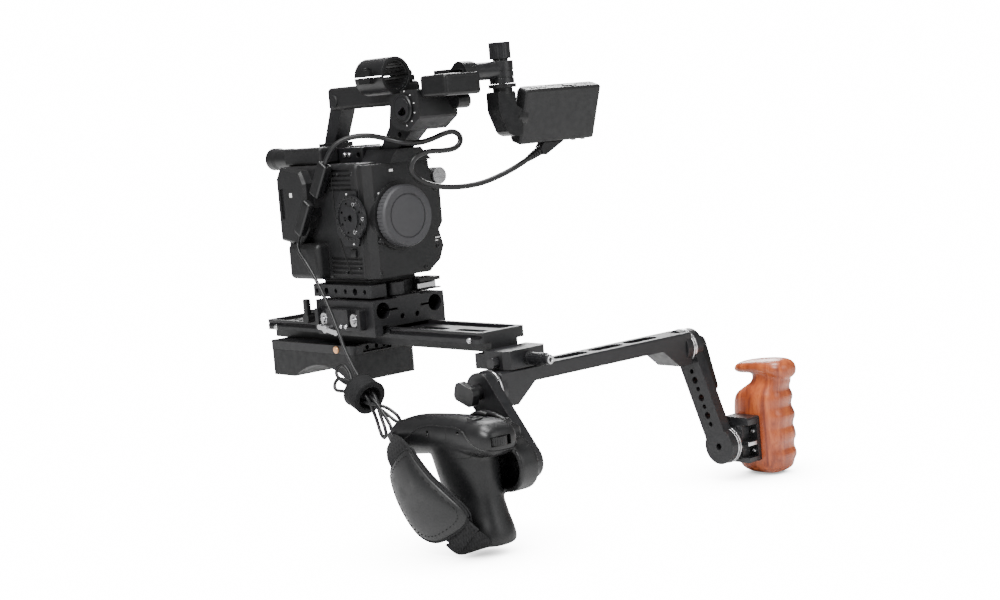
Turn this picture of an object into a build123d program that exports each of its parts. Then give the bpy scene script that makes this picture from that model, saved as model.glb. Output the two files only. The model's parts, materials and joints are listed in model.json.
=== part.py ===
"""Shoulder-mount cinema camera rig, millimetres.

Frame: origin at the mouth of the tripod thread in the middle of the dovetail plate's
underside.  +Z is up, -Y is the way the camera looks, +X is the camera operator's left.
"""
import os
from math import acos, atan2, cos, hypot, pi, radians, sin, tan

from build123d import *

# ---------------------------------------------------------------- driving dimensions
GAP = 0.3                 # space kept between pieces that move past each other

PLATE_LENGTH = 320.0      # dovetail plate
PLATE_WIDTH = 50.0
STEM_WIDTH = 30.0
STEM_HEIGHT = 8.5
PLATE_TOP = 18.0
CHANNEL_DEPTH = 3.0
GROOVE_Z = 14.0           # V groove that the riser's feet run in
GROOVE_DEPTH = 2.0
THREAD_3_8_R = 4.0        # minor radius of a 3/8-16 thread
THREAD_1_4_R = 2.55       # minor radius of a 1/4-20 thread

PAD_LENGTH = 134.0        # shoulder pad
PAD_WIDTH = 72.0
PAD_FRONT_Y = 8.0
PAD_PLATE_THICK = 8.0
PAD_RUBBER_THICK = 25.0
PAD_ARCH_RISE = 13.0
PAD_BUTTON_Y = 34.0

ROD_SPACING = 60.0        # 15 mm lightweight support rods
ROD_BORE_R = 7.55
ROD_Z = 33.5
RISER_HALF = 41.0
RISER_FRONT_Y = -34.0
RISER_REAR_Y = 52.0
RISER_TOP = 43.0

RECEIVER_Z0 = 45.0        # receiver and camera plate
RECEIVER_Z1 = 56.5
RECEIVER_HALF = 36.0
RECEIVER_FRONT_Y = -26.0
RECEIVER_REAR_Y = 62.0

BODY_BOTTOM = 60.0        # camera body
BODY_TOP = 166.0
BODY_LEFT = -34.0
BODY_RIGHT = 52.0
BODY_FRONT_Y = -18.0
BODY_REAR_Y = 96.0
PANEL_FRONT_Y = -32.0
WALL = 2.5
LENS_Z = 116.0
CAP_R = 28.0
CAP_FRONT_Y = -44.5
GRIP_DISC_Y = -9.0
GRIP_DISC_Z = 117.5
GRIP_DISC_R = 20.5

HANDLE_X = 12.0           # top plate and handle
TOP_PLATE_TOP = 179.5
HUMP_TOP = 176.0
POST_PIVOT_Y = 53.0
POST_PIVOT_Z = 223.0
BAR_Z = 225.0
BAR_HEIGHT = 21.0
BAR_WIDTH = 22.0
HOLDER_X = -8.0
HOLDER_Z = 241.0
HOLDER_R = 16.5
HOLDER_HOLE_R = 14.0
HOLDER_FRONT_Y = -54.0
HOLDER_LENGTH = 39.0

BRACKET_FRONT_Y = -119.0  # monitor bracket, column and hinge
COLUMN_X = 71.5
COLUMN_Y = -104.0
COLUMN_R = 11.0
ARM_Z = 238.0
MONITOR_PIVOT_Z = 196.0
MONITOR_TILT = 18.0
MONITOR_SIZE = (94.0, 13.0, 51.0)
MONITOR_LEFT_X = 88.0

BAR_Y = -174.0            # crossbar and its rosettes
ROSETTE_Z = -28.0
ROSETTE_R = 15.9
CROSS_TOP = -13.5
CROSS_BOTTOM = -26.0
CROSS_DEPTH = 28.0
NEAR_FACE_X = -31.0
FAR_FACE_X = 203.0

ARM_THICK = 10.0          # near adapter arm and hand grip
ARM_DROP = 55.0
ARM_REACH = 48.0
GRIP_AXIS_Y = BAR_Y - ARM_REACH
GRIP_AXIS_Z = ROSETTE_Z - ARM_DROP

DROP_FORWARD = 36.0       # far drop arm and wooden grip
DROP_DOWN = 91.0
DROP_THICK = 10.5
WOOD_X = 239.0
WOOD_BOTTOM = -151.0

LCD_PLUG = (-40.5, 28.0, 153.0)      # cable plugs on the camera's side
GRIP_PLUG = (-48.5, 47.5, 119.0)
PLUG_LEAN = 33.0
PLUG_HALF = 17.0
TIE_CENTRE = (-66.0, -43.0, -35.0)   # hook-and-loop tie round the looped grip cable
TIE_AXIS = (0.0, -0.93, -0.37)

GRIP_X = -79.0            # hand grip: middle of its column, inner end of its hub
HUB_X0 = -45.6
STRAP_CENTRE = (-118.0, -176.0, -101.0)
STRAP_TILT = -33.0
DIAL_CENTRE = (-82.0, -233.0, -56.5)
DIAL_R = 9.5
BUTTON_PLACE = (-84.0, -212.0)

LCD_CABLE_D = 5.0         # cords
GRIP_CABLE_D = 3.2
RELIEF_ROOT = (119.0, -97.0, 164.0)
RELIEF_TIP = (101.0, -97.0, 156.5)
LCD_ROUTE = [
    (-40.5, 18.74, 167.26), (-40.5, 13.3, 175.6), (-35, 7, 185), (-25, -3, 190), (-15, -18, 190),
    (-11, -35, 186), (-3, -49, 181), (12, -54, 179.5), (26, -57, 182.5), (37, -60, 186.5),
    (46, -62.5, 187.5), (52, -64, 182.5), (50, -65, 175.5), (41.5, -65.5, 171.5), (28, -65, 171),
    (13, -63, 172), (0, -60, 168), (-4, -57, 159), (2, -56, 149), (17, -58, 141),
    (37, -65, 137), (59, -77, 138), (78, -88, 145), (89.92, -97, 151.885), (100.95, -97, 156.479),
]
GRIP_ROUTE = [
    (-48.5, 56.76, 104.74), (-48.5, 61.1, 98.0), (-52.5, 57, 89), (-55, 42, 79), (-57, 24, 61),
    (-58.5, 8, 39), (-60, -5, 18), (-62, -15, 1), (-64, -21, -14),
]
TAIL_ROUTE = [
    (-68, -76, -50), (-72, -85, -58), (-79, -94, -62), (-79, -106, -62),
]


# ---------------------------------------------------------------- small helpers
def block(x0, x1, y0, y1, z0, z1):
    """Box between two corners."""
    size = Box(x1 - x0, y1 - y0, z1 - z0)
    return Pos((x0 + x1) / 2, (y0 + y1) / 2, (z0 + z1) / 2) * size


def soft_block(x0, x1, y0, y1, z0, z1, radius, along=None):
    """Box with rounded edges, all of them or only those along one axis."""
    shape = block(x0, x1, y0, y1, z0, z1)
    edges = shape.edges() if along is None else shape.edges().filter_by(along)
    return fillet(edges, radius)


def rod(start, direction, length, radius):
    """Cylinder from a start point along a direction."""
    plane = Plane(origin=start, z_dir=direction)
    return plane * Pos(0, 0, length / 2) * Cylinder(radius, length)


def ring(start, direction, length, outer, inner):
    """Tube from a start point along a direction."""
    return rod(start, direction, length, outer) - rod(start, direction, length, inner)


def prism_x(points, x0, x1):
    """Solid whose outline is given in (y, z), between two x planes."""
    face = make_face(Polyline(*[(y, z) for y, z in points], close=True))
    plane = Plane(origin=(x0, 0, 0), x_dir=(0, 1, 0), z_dir=(1, 0, 0))
    return extrude(plane * face, amount=x1 - x0)


def prism_y(points, y0, y1):
    """Solid whose outline is given in (x, z), between two y planes."""
    face = make_face(Polyline(*[(x, z) for x, z in points], close=True))
    plane = Plane(origin=(0, y1, 0), x_dir=(1, 0, 0), z_dir=(0, -1, 0))
    return extrude(plane * face, amount=y1 - y0)


def turned(points, start, direction):
    """Solid of revolution from (radius, distance) points about an axis."""
    face = make_face(Polyline(*points, close=True))
    plane = Plane(origin=start, z_dir=direction)
    return plane * revolve(Plane.XZ * face, Axis.Z)


def link_x(x0, x1, y0, z0, r0, y1, z1, r1):
    """Flat arm between two round ends, lying across X."""
    span = hypot(y1 - y0, z1 - z0)
    spread = acos((r0 - r1) / span)
    heading = atan2(z1 - z0, y1 - y0)
    sides = [(y0, z0, r0, spread), (y1, z1, r1, spread), (y1, z1, r1, -spread), (y0, z0, r0, -spread)]
    corners = [(y + r * cos(heading + a), z + r * sin(heading + a)) for y, z, r, a in sides]
    arm = prism_x(corners, x0, x1)
    arm += rod((x0, y0, z0), (1, 0, 0), x1 - x0, r0)
    arm += rod((x0, y1, z1), (1, 0, 0), x1 - x0, r1)
    return arm


def knurled(start, direction, length, radius, grooves, depth=0.7):
    """Knob with grooves along its side."""
    plane = Plane(origin=start, z_dir=direction)
    knob = plane * Pos(0, 0, length / 2) * Cylinder(radius, length)
    for i in range(grooves):
        turn = Rot(0, 0, 360 * i / grooves)
        cutter = plane * turn * Pos(radius + depth * 0.2, 0, length / 2) * Cylinder(depth, length + 2)
        knob -= cutter
    return knob


def cord_path(points):
    """Straight runs joined by arcs as large as the runs allow, and the arcs' radii."""
    radii = []
    for a, b, c in zip(points, points[1:], points[2:]):
        before, after = Vector(*b) - Vector(*a), Vector(*c) - Vector(*b)
        half = radians(before.get_angle(after)) / 2
        radii.append(0.45 * min(before.length, after.length) / tan(half))
    return FilletPolyline(*points, radius=radii), radii


def cord(points, diameter, name):
    """Round cord along a route."""
    path, radii = cord_path(points)
    section = Plane(origin=path @ 0, z_dir=path % 0) * Circle(diameter / 2)
    tube = sweep(section, path=path)
    expected = pi * diameter ** 2 / 4 * path.length
    print(name, "length", round(path.length, 1), "volume ratio", round(tube.volume / expected, 4))
    print(name, "radii", [round(r, 1) for r in radii])
    return tube


# ---------------------------------------------------------------- dovetail plate and shoulder pad
def dovetail_plate():
    half, width = PLATE_LENGTH / 2, PLATE_WIDTH / 2
    flange = soft_block(-width, width, -half, half, STEM_HEIGHT, PLATE_TOP, 4, Axis.Z)
    channel = soft_block(-width + 4, width - 4, -half + 6, half - 6, PLATE_TOP - CHANNEL_DEPTH,
                         PLATE_TOP + 1, 3, Axis.Z)
    plate = flange - channel
    plate += block(-STEM_WIDTH / 2, STEM_WIDTH / 2, -half, half, 0, STEM_HEIGHT)
    for side in (-1, 1):
        edge = side * width
        tip = edge - side * GROOVE_DEPTH
        groove = [(edge + side, GROOVE_Z - GROOVE_DEPTH - 1), (tip, GROOVE_Z),
                  (edge + side, GROOVE_Z + GROOVE_DEPTH + 1)]
        plate -= prism_y(groove, -half - 1, half + 1)
    for y in (-118, -66, 66, 118):
        plate -= soft_block(-5, 5, y - 20, y + 20, -1, PLATE_TOP, 4.9, Axis.Z)
    for y in (-145, -36, 36, 145):
        plate -= rod((0, y, -1), (0, 0, 1), 30, THREAD_1_4_R)
    plate -= rod((0, 0, -1), (0, 0, 1), 30, THREAD_3_8_R)
    return plate


def plate_screws():
    """Stop screws near the plate's four corners."""
    screws = []
    for side in (-1, 1):
        for y in (-144, 144):
            start = (side * PLATE_WIDTH / 2, y, STEM_HEIGHT + 2.6)
            screws.append(turned([(0, 0), (2.6, 0), (2.6, 1.2), (1.8, 1.9), (0, 2.0)], start,
                                 (side, 0, 0)))
    return Compound(screws)


def pad_plate():
    half = PAD_WIDTH / 2
    rear = PAD_FRONT_Y + PAD_LENGTH
    plate = soft_block(-half, half, PAD_FRONT_Y, rear, -PAD_PLATE_THICK, 0, 5, Axis.Z)
    plate -= block(-25, 8, PAD_FRONT_Y - 1, PAD_FRONT_Y + 4, -PAD_PLATE_THICK + 1.2, 1)
    for x in (-17, -6, 3):
        plate -= rod((x, PAD_FRONT_Y, -3.4), (0, 1, 0), 12, 1.9)
    plate -= rod((-half - 1, PAD_BUTTON_Y, -4.1), (1, 0, 0), 9, 3.5)
    return plate


def shoulder_pad():
    """Rubber pad with a shallow arch across it for the shoulder."""
    half = PAD_WIDTH / 2
    rear = PAD_FRONT_Y + PAD_LENGTH
    top = -PAD_PLATE_THICK
    bottom = top - PAD_RUBBER_THICK
    pad = soft_block(-half, half, PAD_FRONT_Y + 0.5, rear - 0.5, bottom, top, 5, Axis.Z)
    chord = 84.0
    arch_r = (chord ** 2 / 4 + PAD_ARCH_RISE ** 2) / (2 * PAD_ARCH_RISE)
    centre_y = PAD_FRONT_Y + 12 + chord / 2
    pad -= rod((-half - 1, centre_y, bottom + PAD_ARCH_RISE - arch_r), (1, 0, 0), PAD_WIDTH + 2, arch_r)
    return pad


def pad_button():
    start = (-PAD_WIDTH / 2 + 4.2, PAD_BUTTON_Y, -4.1)
    return turned([(0, 0), (3.42, 0), (3.42, 5.2), (2.6, 6.0), (0, 6.2)], start, (-1, 0, 0))


# ---------------------------------------------------------------- front clamp
def front_clamp():
    """Clamp block on the plate's nose, with the T-shaped key that the crossbar hangs from."""
    front = -PLATE_LENGTH / 2 - 28
    body = block(-24, 24, front, -PLATE_LENGTH / 2 + 12, -13, 0)
    body += block(-24, 24, front, -PLATE_LENGTH / 2 - GAP, -1, 3)
    corner = body.edges().filter_by(Axis.Z).group_by(Axis.Y)[0]
    body = chamfer(corner, 5)
    body += block(-4, 8, BAR_Y - 3.9, BAR_Y + 3.9, -21, -12)
    body += block(-6, 10, BAR_Y - 6.6, BAR_Y + 6.6, -25, -20.5)
    body -= rod((2, front - 1, -6), (0, 1, 0), 14, 3.05)
    body -= rod((-25, -PLATE_LENGTH / 2 - 15, -6.5), (1, 0, 0), 8, 2.05)
    return body


def front_knob():
    """Thumb knob on the clamp's front, with its threaded shank."""
    front = -PLATE_LENGTH / 2 - 28
    knob = turned([(0, 12), (2.98, 12), (2.98, 0), (0, 0)], (2, front - 0.4, -6), (0, 1, 0))
    knob += turned([(0, 0), (6.2, 0), (6.2, 2.2), (0, 2.2)], (2, front - 0.4, -6), (0, -1, 0))
    knob += knurled((2, front - 2.6, -6), (0, -1, 0), 18, 5.6, 16, 0.4)
    knob += turned([(0, 0), (4.4, 0), (4.4, 4.4), (3.6, 5.2), (0, 5.2)], (2, front - 20.6, -6),
                   (0, -1, 0))
    return knob


def bar_lock_screw():
    """Small thumb screw in the clamp's side that locks the crossbar."""
    y = -PLATE_LENGTH / 2 - 15
    screw = rod((-18, y, -6.5), (-1, 0, 0), 7, 2.0)
    return screw + knurled((-24.4, y, -6.5), (-1, 0, 0), 6.4, 4.6, 14, 0.35)


# ---------------------------------------------------------------- riser and receiver
def riser_block():
    """Rod riser that slides along the dovetail plate."""
    width = PLATE_WIDTH / 2
    body = block(-RISER_HALF, RISER_HALF, RISER_FRONT_Y, RISER_REAR_Y, PLATE_TOP + GAP, RISER_TOP)
    for side in (-1, 1):
        inner, outer = side * (width + GAP), side * RISER_HALF
        body += block(min(inner, outer), max(inner, outer), RISER_FRONT_Y, RISER_REAR_Y, 11,
                      PLATE_TOP + 2)
        tip = side * (width - GROOVE_DEPTH + 0.6)
        ridge = [(inner, GROOVE_Z - 2.1), (tip, GROOVE_Z), (inner, GROOVE_Z + 2.1)]
        body += prism_y(ridge, RISER_FRONT_Y, RISER_REAR_Y)
    for side in (-1, 1):
        x = side * ROD_SPACING / 2
        body -= rod((x, RISER_FRONT_Y - 1, ROD_Z), (0, 1, 0), 200, ROD_BORE_R)
        inner = side * (ROD_SPACING / 2 - 18)
        body -= block(min(inner, x), max(inner, x), RISER_FRONT_Y - 1, RISER_REAR_Y + 1, ROD_Z - 0.9,
                      ROD_Z + 0.9)
    body -= block(-13.5, 13.5, RISER_FRONT_Y + 9, RISER_REAR_Y - 12, PLATE_TOP - 1, RISER_TOP - 6)
    body -= block(-19, 19, RISER_FRONT_Y + 6, RISER_REAR_Y - 8, RISER_TOP - 5, RISER_TOP + 1)
    for x in (-8.5, 8.5):
        body -= rod((x, RISER_FRONT_Y - 1, 26), (0, 1, 0), 9.5, 2.4)
    body -= block(-32, -25.2, RISER_FRONT_Y - 1, RISER_FRONT_Y + 8, 10, 20)
    body += block(-13.5, 13.5, RISER_FRONT_Y, RISER_FRONT_Y + 6, RISER_TOP - 10, RISER_TOP + 1.4)
    body -= rod((RISER_HALF - 2.6, -22, 30), (1, 0, 0), 4, 2.05)
    return body + side_clamp() + lever_seat()


def side_clamp():
    """Clamp housing on the riser's right-hand side."""
    x1 = -RISER_HALF
    housing = soft_block(x1 - 7, x1 + 1, -22, 46, 17, 36, 1.5, Axis.X)
    housing -= block(x1 - 8, x1 - 2, 28, 41, 20, 40)
    housing -= block(x1 - 8, x1 - 2, -17, -4, 20, 40)
    housing += rod((x1 - 3, 34.5, 26), (1, 0, 0), 5, 5.5)
    housing += rod((x1 - 3, -10.5, 26), (1, 0, 0), 5, 5.5)
    return housing


def riser_fasteners():
    """Bright collars, pins, screws and the top plate's bright insert."""
    x = -RISER_HALF
    pieces = []
    for y in (34.5, -10.5):
        pieces.append(ring((x - 3, y, 26), (-1, 0, 0), 2.4, 5.9, 3.2))
        pieces.append(rod((x - 3, y, 26), (-1, 0, 0), 4.2, 2.6))
    for y in (-1, 6):
        pieces.append(turned([(0, 0), (1.9, 0), (1.9, 1.2), (1.2, 2.0), (0, 2.0)], (x - 7, y, 20.5),
                             (-1, 0, 0)))
    for x in (-12, 12):
        head = [(0, 0), (6, 0), (6, 2.6), (3.1, 2.6), (3.1, 9), (0, 9)]
        pieces.append(turned(head, (x, 16, RECEIVER_Z1 - 2.6), (0, 0, 1)))
    pieces += top_fittings()
    return Compound(pieces)


def rod_lock_lever():
    """Black paddle lever that closes the rod clamps, at the riser's rear corner."""
    lever = rod((-RISER_HALF - 0.5, RISER_REAR_Y + 5.5, 26), (-1, 0, 0), 9, 4.5)
    lever += soft_block(-RISER_HALF - 9.5, -RISER_HALF - 4, RISER_REAR_Y + 2.5, RISER_REAR_Y + 8.5, 24,
                        44, 1.2)
    return lever + rod((-RISER_HALF - 1, RISER_REAR_Y + 5.5, 26), (1, 0, 0), 5, 2.5)


def lever_seat():
    """Ear behind the riser that carries the rod lever's pin."""
    ear = block(-RISER_HALF, -RISER_HALF + 7, RISER_REAR_Y - 2, RISER_REAR_Y + 11, 19, 33)
    ear -= rod((-ROD_SPACING / 2, RISER_REAR_Y - 3, ROD_Z), (0, 1, 0), 23, ROD_BORE_R + 1)
    return ear - rod((-RISER_HALF - 1, RISER_REAR_Y + 5.5, 26), (1, 0, 0), 9, 2.55)


def plate_lock_lever():
    """Bright cross lever that locks the riser on the plate."""
    x, y, z = -RISER_HALF - 7.4, 27.5, 17.5
    lever = rod((x, y, z), (-1, 0, 0), 3.4, 3.6)
    plane = Plane(origin=(x - 1.7, y, z), x_dir=(0, -1, -0.18), z_dir=(-1, 0, 0))
    for reach, wide in ((15.5, 4.4), (-9.5, 4.0)):
        arm = Pos(reach / 2, 0, 0) * Box(abs(reach), wide, 2.6)
        lever += plane * arm
        lever += plane * Pos(reach, 0, 0) * Cylinder(wide / 2 + 0.5, 2.6)
    return lever


def side_knob():
    """Small knurled knob on the riser's far side."""
    knob = rod((RISER_HALF - 2.3, -22, 30), (1, 0, 0), 3.5, 2.0)
    return knob + knurled((RISER_HALF + 0.5, -22, 30), (1, 0, 0), 6, 4.8, 14, 0.35)


def receiver_plate():
    """Quick-release receiver under the camera."""
    half = RECEIVER_HALF
    front, rear = RECEIVER_FRONT_Y, RECEIVER_REAR_Y
    body = soft_block(-half, half, front, rear, RECEIVER_Z0, RECEIVER_Z1, 2, Axis.Z)
    body += block(-16, 16, RISER_FRONT_Y + 14, RISER_REAR_Y - 14, RISER_TOP - 4.5, RECEIVER_Z0 + 1)
    body -= block(-18, 18, front - 1, front + 7, RECEIVER_Z0 - 1, RECEIVER_Z1 + 1)
    body += rod((-4, front + 5, RECEIVER_Z0), (0, 0, 1), RECEIVER_Z1 - RECEIVER_Z0, 9)
    body += block(18, 42, front - 4, front + 16, RECEIVER_Z0 + 0.5, RECEIVER_Z1)
    body -= block(15, 43, front - 5, front + 3.2, RECEIVER_Z0 + 1.8, RECEIVER_Z0 + 8.2)
    body += rod((35, front - 0.6, RECEIVER_Z0 + 1), (0, 0, 1), 8, 1.5)
    for i in range(6):
        y = front + 9 + i * 14.5
        radius = 3.2 if i in (1, 4) else 2.2
        body -= rod((-half - 1, y, 50.6), (1, 0, 0), 7, radius)
    for x in (-12, 12):
        body -= rod((x, 16, RECEIVER_Z0 - 3), (0, 0, 1), 20, 6.4)
    return body


def release_lever():
    """Bright release lever in the receiver's front corner."""
    y, z = RECEIVER_FRONT_Y - 0.6, RECEIVER_Z0 + 5.0
    lever = rod((35, y, z - 2.6), (0, 0, 1), 5.2, 3.0)
    arm = Pos(26, y - 2.4, z) * Rot(0, 0, 8) * Box(21, 3.4, 4.2)
    lever += arm + rod((15.8, y - 3.9, z - 2.1), (0, 0, 1), 4.2, 2.2)
    return lever - rod((35, y, z - 3), (0, 0, 1), 6, 1.55)


def camera_plate():
    plate = soft_block(-27, 27, RECEIVER_FRONT_Y + 12, RECEIVER_REAR_Y - 6, RECEIVER_Z1, BODY_BOTTOM, 2,
                       Axis.Z)
    for x in (-12, 12):
        plate -= rod((x, 16, RECEIVER_Z1 - 1), (0, 0, 1), 8, 3.3)
    return plate


# ---------------------------------------------------------------- camera
def camera_body():
    """Hollow camera casing with its side door, connector housing and vents."""
    left, right = BODY_LEFT, BODY_RIGHT
    body = soft_block(left, right, BODY_FRONT_Y, BODY_REAR_Y, BODY_BOTTOM, BODY_TOP, 5)
    body -= prism_y([(right + 1, 58), (right - 8, 58), (right - 8, 92), (right + 1, 101)], -50, 200)
    door = [(56, 162), (88, 166), (95, 156), (95, 98), (64, 93), (50, 108), (50, 150)]
    body += chamfer(prism_x(door, left - 10, left + 2).faces().sort_by(Axis.X)[0].edges(), 2.5)
    body += soft_block(left - 13, left + 6, 34, 82, 62, 95, 5)
    hump = [(HANDLE_X - 24, BODY_TOP - 5), (HANDLE_X + 28, BODY_TOP - 5), (HANDLE_X + 14, HUMP_TOP),
            (HANDLE_X - 14, HUMP_TOP)]
    body += prism_y(hump, PANEL_FRONT_Y - 6, 6)
    body -= block(HANDLE_X - 24, HANDLE_X + 28, PANEL_FRONT_Y - 7, BODY_FRONT_Y, BODY_TOP - 6,
                  BODY_TOP - 2)
    inner = (left + WALL, right - 8 - WALL, BODY_FRONT_Y + WALL, BODY_REAR_Y - WALL, BODY_BOTTOM + WALL,
             BODY_TOP - WALL)
    body -= block(*inner)
    body -= rod((0, BODY_FRONT_Y - 1, LENS_Z), (0, 1, 0), WALL + 2, 24)
    for i in range(5):
        z = 142 + i * 4.3
        body -= block(left - 1, left + 1.4, -8, 25, z, z + 2.0)
        body -= block(left - 1, left + 1.4, -15, 31, 62.5 + i * 4.2, 65.0 + i * 4.2)
    body -= block(left - 11, left - 8, 84, 89, 118, 146)
    body -= rod((left - 1, -5, 85.5), (1, 0, 0), 4, 4.05)
    for x in (-12, 12):
        body -= rod((x, 16, BODY_BOTTOM - 1), (0, 0, 1), 6, 3.15)
    body -= rod((right - 4, -12, 148), (0, -1, 0), 7, 2.5)
    return body


def front_panel():
    """Front cover with the lens throat, hollow behind its face."""
    outline = [(-33, 164), (-33, 62), (29, 62), (43, 72), (48, 84), (44, 99), (49, 106), (49, 141),
               (37, 158), (22, 164)]
    panel = prism_y(outline, PANEL_FRONT_Y, BODY_FRONT_Y)
    panel -= Pos(-33, PANEL_FRONT_Y, 112) * Rot(0, 0, 35) * Box(9, 22, 110)
    inner = [(-26, 160), (-26, 66), (27, 66), (41, 75), (40, 100), (44.5, 108), (44.5, 139), (34, 155),
             (21, 160)]
    panel -= prism_y(inner, PANEL_FRONT_Y + 3, BODY_FRONT_Y + 1)
    panel += ring((0, PANEL_FRONT_Y - 2, LENS_Z), (0, 1, 0), 14, 31, 23.05)
    panel -= rod((0, PANEL_FRONT_Y - 3, LENS_Z), (0, 1, 0), 20, 23.05)
    panel -= rod((-24.5, PANEL_FRONT_Y - 4, LENS_Z - 20), (0, 1, 0), 9, 3.05)
    panel -= rod((BODY_RIGHT - 4, PANEL_FRONT_Y - 4, 148), (0, 1, 0), 20, 8.3)
    return panel


def body_cap():
    """Round cap on the lens throat with a knurled rim and a ring on its face."""
    start = (0, CAP_FRONT_Y, LENS_Z)
    profile = [(0, 0.8), (19, 0.8), (19, 1.4), (20.2, 1.4), (20.2, 0.4), (26.5, 0), (CAP_R, 2.0),
               (CAP_R, 10.0), (22.98, 10.0),
               (22.98, 16.0), (20.5, 16.0), (20.5, 4.0), (0, 4.0)]
    cap = turned(profile, start, (0, 1, 0))
    for i in range(48):
        angle = 2 * pi * i / 48
        x, z = (CAP_R + 0.3) * cos(angle), (CAP_R + 0.3) * sin(angle)
        cap -= rod((x, CAP_FRONT_Y + 2.6, LENS_Z + z), (0, 1, 0), 9, 0.75)
    return cap


def sensor_board():
    """Image sensor on its board behind the lens throat, and the main board."""
    sensor = block(-18, 18, 2, 5, LENS_Z - 12, LENS_Z + 12)
    board = block(-26, 30, 5, 7, 78, 152)
    for x in (-24, 28):
        for z in (80, 150):
            board += rod((x, BODY_FRONT_Y + WALL, z), (0, 1, 0), 24 - WALL, 2)
    main_board = block(-24, 36, 60, 62, 70, 156)
    for x in (-20, 32):
        for z in (74, 152):
            main_board += rod((x, 61, z), (0, 1, 0), BODY_REAR_Y - WALL - 61, 2)
    return Compound([sensor + board, main_board])


def side_rosette():
    """Toothed disc on the camera's right side where the hand grip normally sits."""
    face = BODY_LEFT
    outline = [(-17, 142), (6, 142), (16, 128), (16, 104), (6, 92), (-14, 92), (-17, 98)]
    plate = prism_x(outline, face - 2, face)
    disc = turned([(0, 0), (GRIP_DISC_R, 0), (GRIP_DISC_R, 3.2), (17.6, 3.2), (17.6, 2.2), (11, 2.2),
                   (11, 3.4), (0, 3.4)],
                  (face - 1.8, GRIP_DISC_Y, GRIP_DISC_Z), (-1, 0, 0))
    body = plate + disc
    body -= rod((face - 9, GRIP_DISC_Y, GRIP_DISC_Z), (1, 0, 0), 8, 3.2)
    for i in range(8):
        angle = 2 * pi * (i + 0.5) / 8
        y, z = GRIP_DISC_Y + 14 * cos(angle), GRIP_DISC_Z + 14 * sin(angle)
        body -= rod((face - 9, y, z), (1, 0, 0), 7, 1.3)
    for i in range(24):
        angle = 2 * pi * i / 24
        y, z = GRIP_DISC_Y + 19.2 * cos(angle), GRIP_DISC_Z + 19.2 * sin(angle)
        body -= rod((face - 9, y, z), (1, 0, 0), 4.8, 0.8)
    return body


def lens_button():
    start = (-24.5, PANEL_FRONT_Y + 3, LENS_Z - 20)
    return turned([(0, 0), (3.0, 0), (3.0, 5.6), (2.4, 6.2), (0, 6.2)], start, (0, -1, 0))


def side_button():
    return turned([(0, 0), (4.0, 0), (4.0, 2.6), (3.4, 3.2), (0, 3.2)], (BODY_LEFT + 1.2, -5, 85.5),
                  (-1, 0, 0))


def filter_knob():
    """Bright knurled knob at the front of the camera's left side."""
    start = (BODY_RIGHT - 4, -13, 148)
    knob = rod(start, (0, -1, 0), 8, 2.45)
    knob += turned([(0, 0), (7.4, 0), (7.4, 5), (0, 5)], (start[0], -19, 148), (0, -1, 0))
    return knob + knurled((start[0], -24, 148), (0, -1, 0), 11, 7.8, 24, 0.4)


def cable_plugs():
    """Two plugs in the camera's side sockets with their relief sleeves."""
    upper = Pos(*LCD_PLUG) * Rot(PLUG_LEAN, 0, 0) * soft_block(-4.5, 4.5, -6.5, 6.5, -PLUG_HALF,
                                                               PLUG_HALF, 2)
    upper += block(LCD_PLUG[0], BODY_LEFT, 27, 34, 146, 154)
    lower = Pos(*GRIP_PLUG) * Rot(PLUG_LEAN, 0, 0) * soft_block(-4.0, 4.0, -5.5, 5.5, -PLUG_HALF,
                                                                PLUG_HALF, 2)
    lower += block(GRIP_PLUG[0], BODY_LEFT, 40, 47, 120, 128)
    return Compound([upper, lower])


def battery_pack():
    return soft_block(-18, 34, BODY_REAR_Y, BODY_REAR_Y + 24, 74, 150, 3)


def finder_housing():
    body = soft_block(-30, -8, 40, 98, BODY_TOP, 182, 3)
    return body - rod((-19, 88, 173), (0, 1, 0), 11, 6.05)


def finder_eyepiece():
    """Eyepiece barrel and eyecup at the finder's rear."""
    profile = [(0, -8), (6.0, -8), (6.0, 0.3), (9.5, 0.3), (9.5, 18), (10.6, 22), (10.6, 31), (8.2, 31),
               (7.0, 22), (7.0, 14), (0, 14)]
    return turned(profile, (-19, 98, 173), (0, 1, 0))


# ---------------------------------------------------------------- top plate and handle
def top_plate():
    x0, x1 = HANDLE_X - 19, HANDLE_X + 19
    plate = soft_block(x0, x1, 6.5, 82, BODY_TOP, TOP_PLATE_TOP, 2, Axis.Z)
    plate += block(x0 + 6, x1, -12, 8, HUMP_TOP, TOP_PLATE_TOP)
    plate -= block(HANDLE_X - 8, HANDLE_X + 8, 12, 44, TOP_PLATE_TOP - 2, TOP_PLATE_TOP + 1)
    for y in (18, 38):
        plate -= rod((HANDLE_X, y, TOP_PLATE_TOP - 12), (0, 0, 1), 20, THREAD_1_4_R)
    plate -= rod((x0 - 1, 12.5, 172.5), (1, 0, 0), 8, THREAD_1_4_R)
    return plate


def top_fittings():
    """Bright insert and side screws of the top plate."""
    z = TOP_PLATE_TOP - 2
    insert = soft_block(HANDLE_X - 7.8, HANDLE_X + 7.8, 12.2, 43.8, z, z + 3.4, 1.5, Axis.Z)
    for y in (18, 38):
        insert -= rod((HANDLE_X, y, z - 1), (0, 0, 1), 8, 3.3)
    insert -= soft_block(HANDLE_X - 4, HANDLE_X + 4, 23, 33, z - 1, z + 5, 2, Axis.Z)
    x = HANDLE_X - 19
    heads = [turned([(0, 0), (2.4, 0), (2.4, 1.0), (1.6, 1.7), (0, 1.8)], (x, y, 173),
                    (-1, 0, 0)) for y in (26, 33)]
    return [insert] + heads


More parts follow.
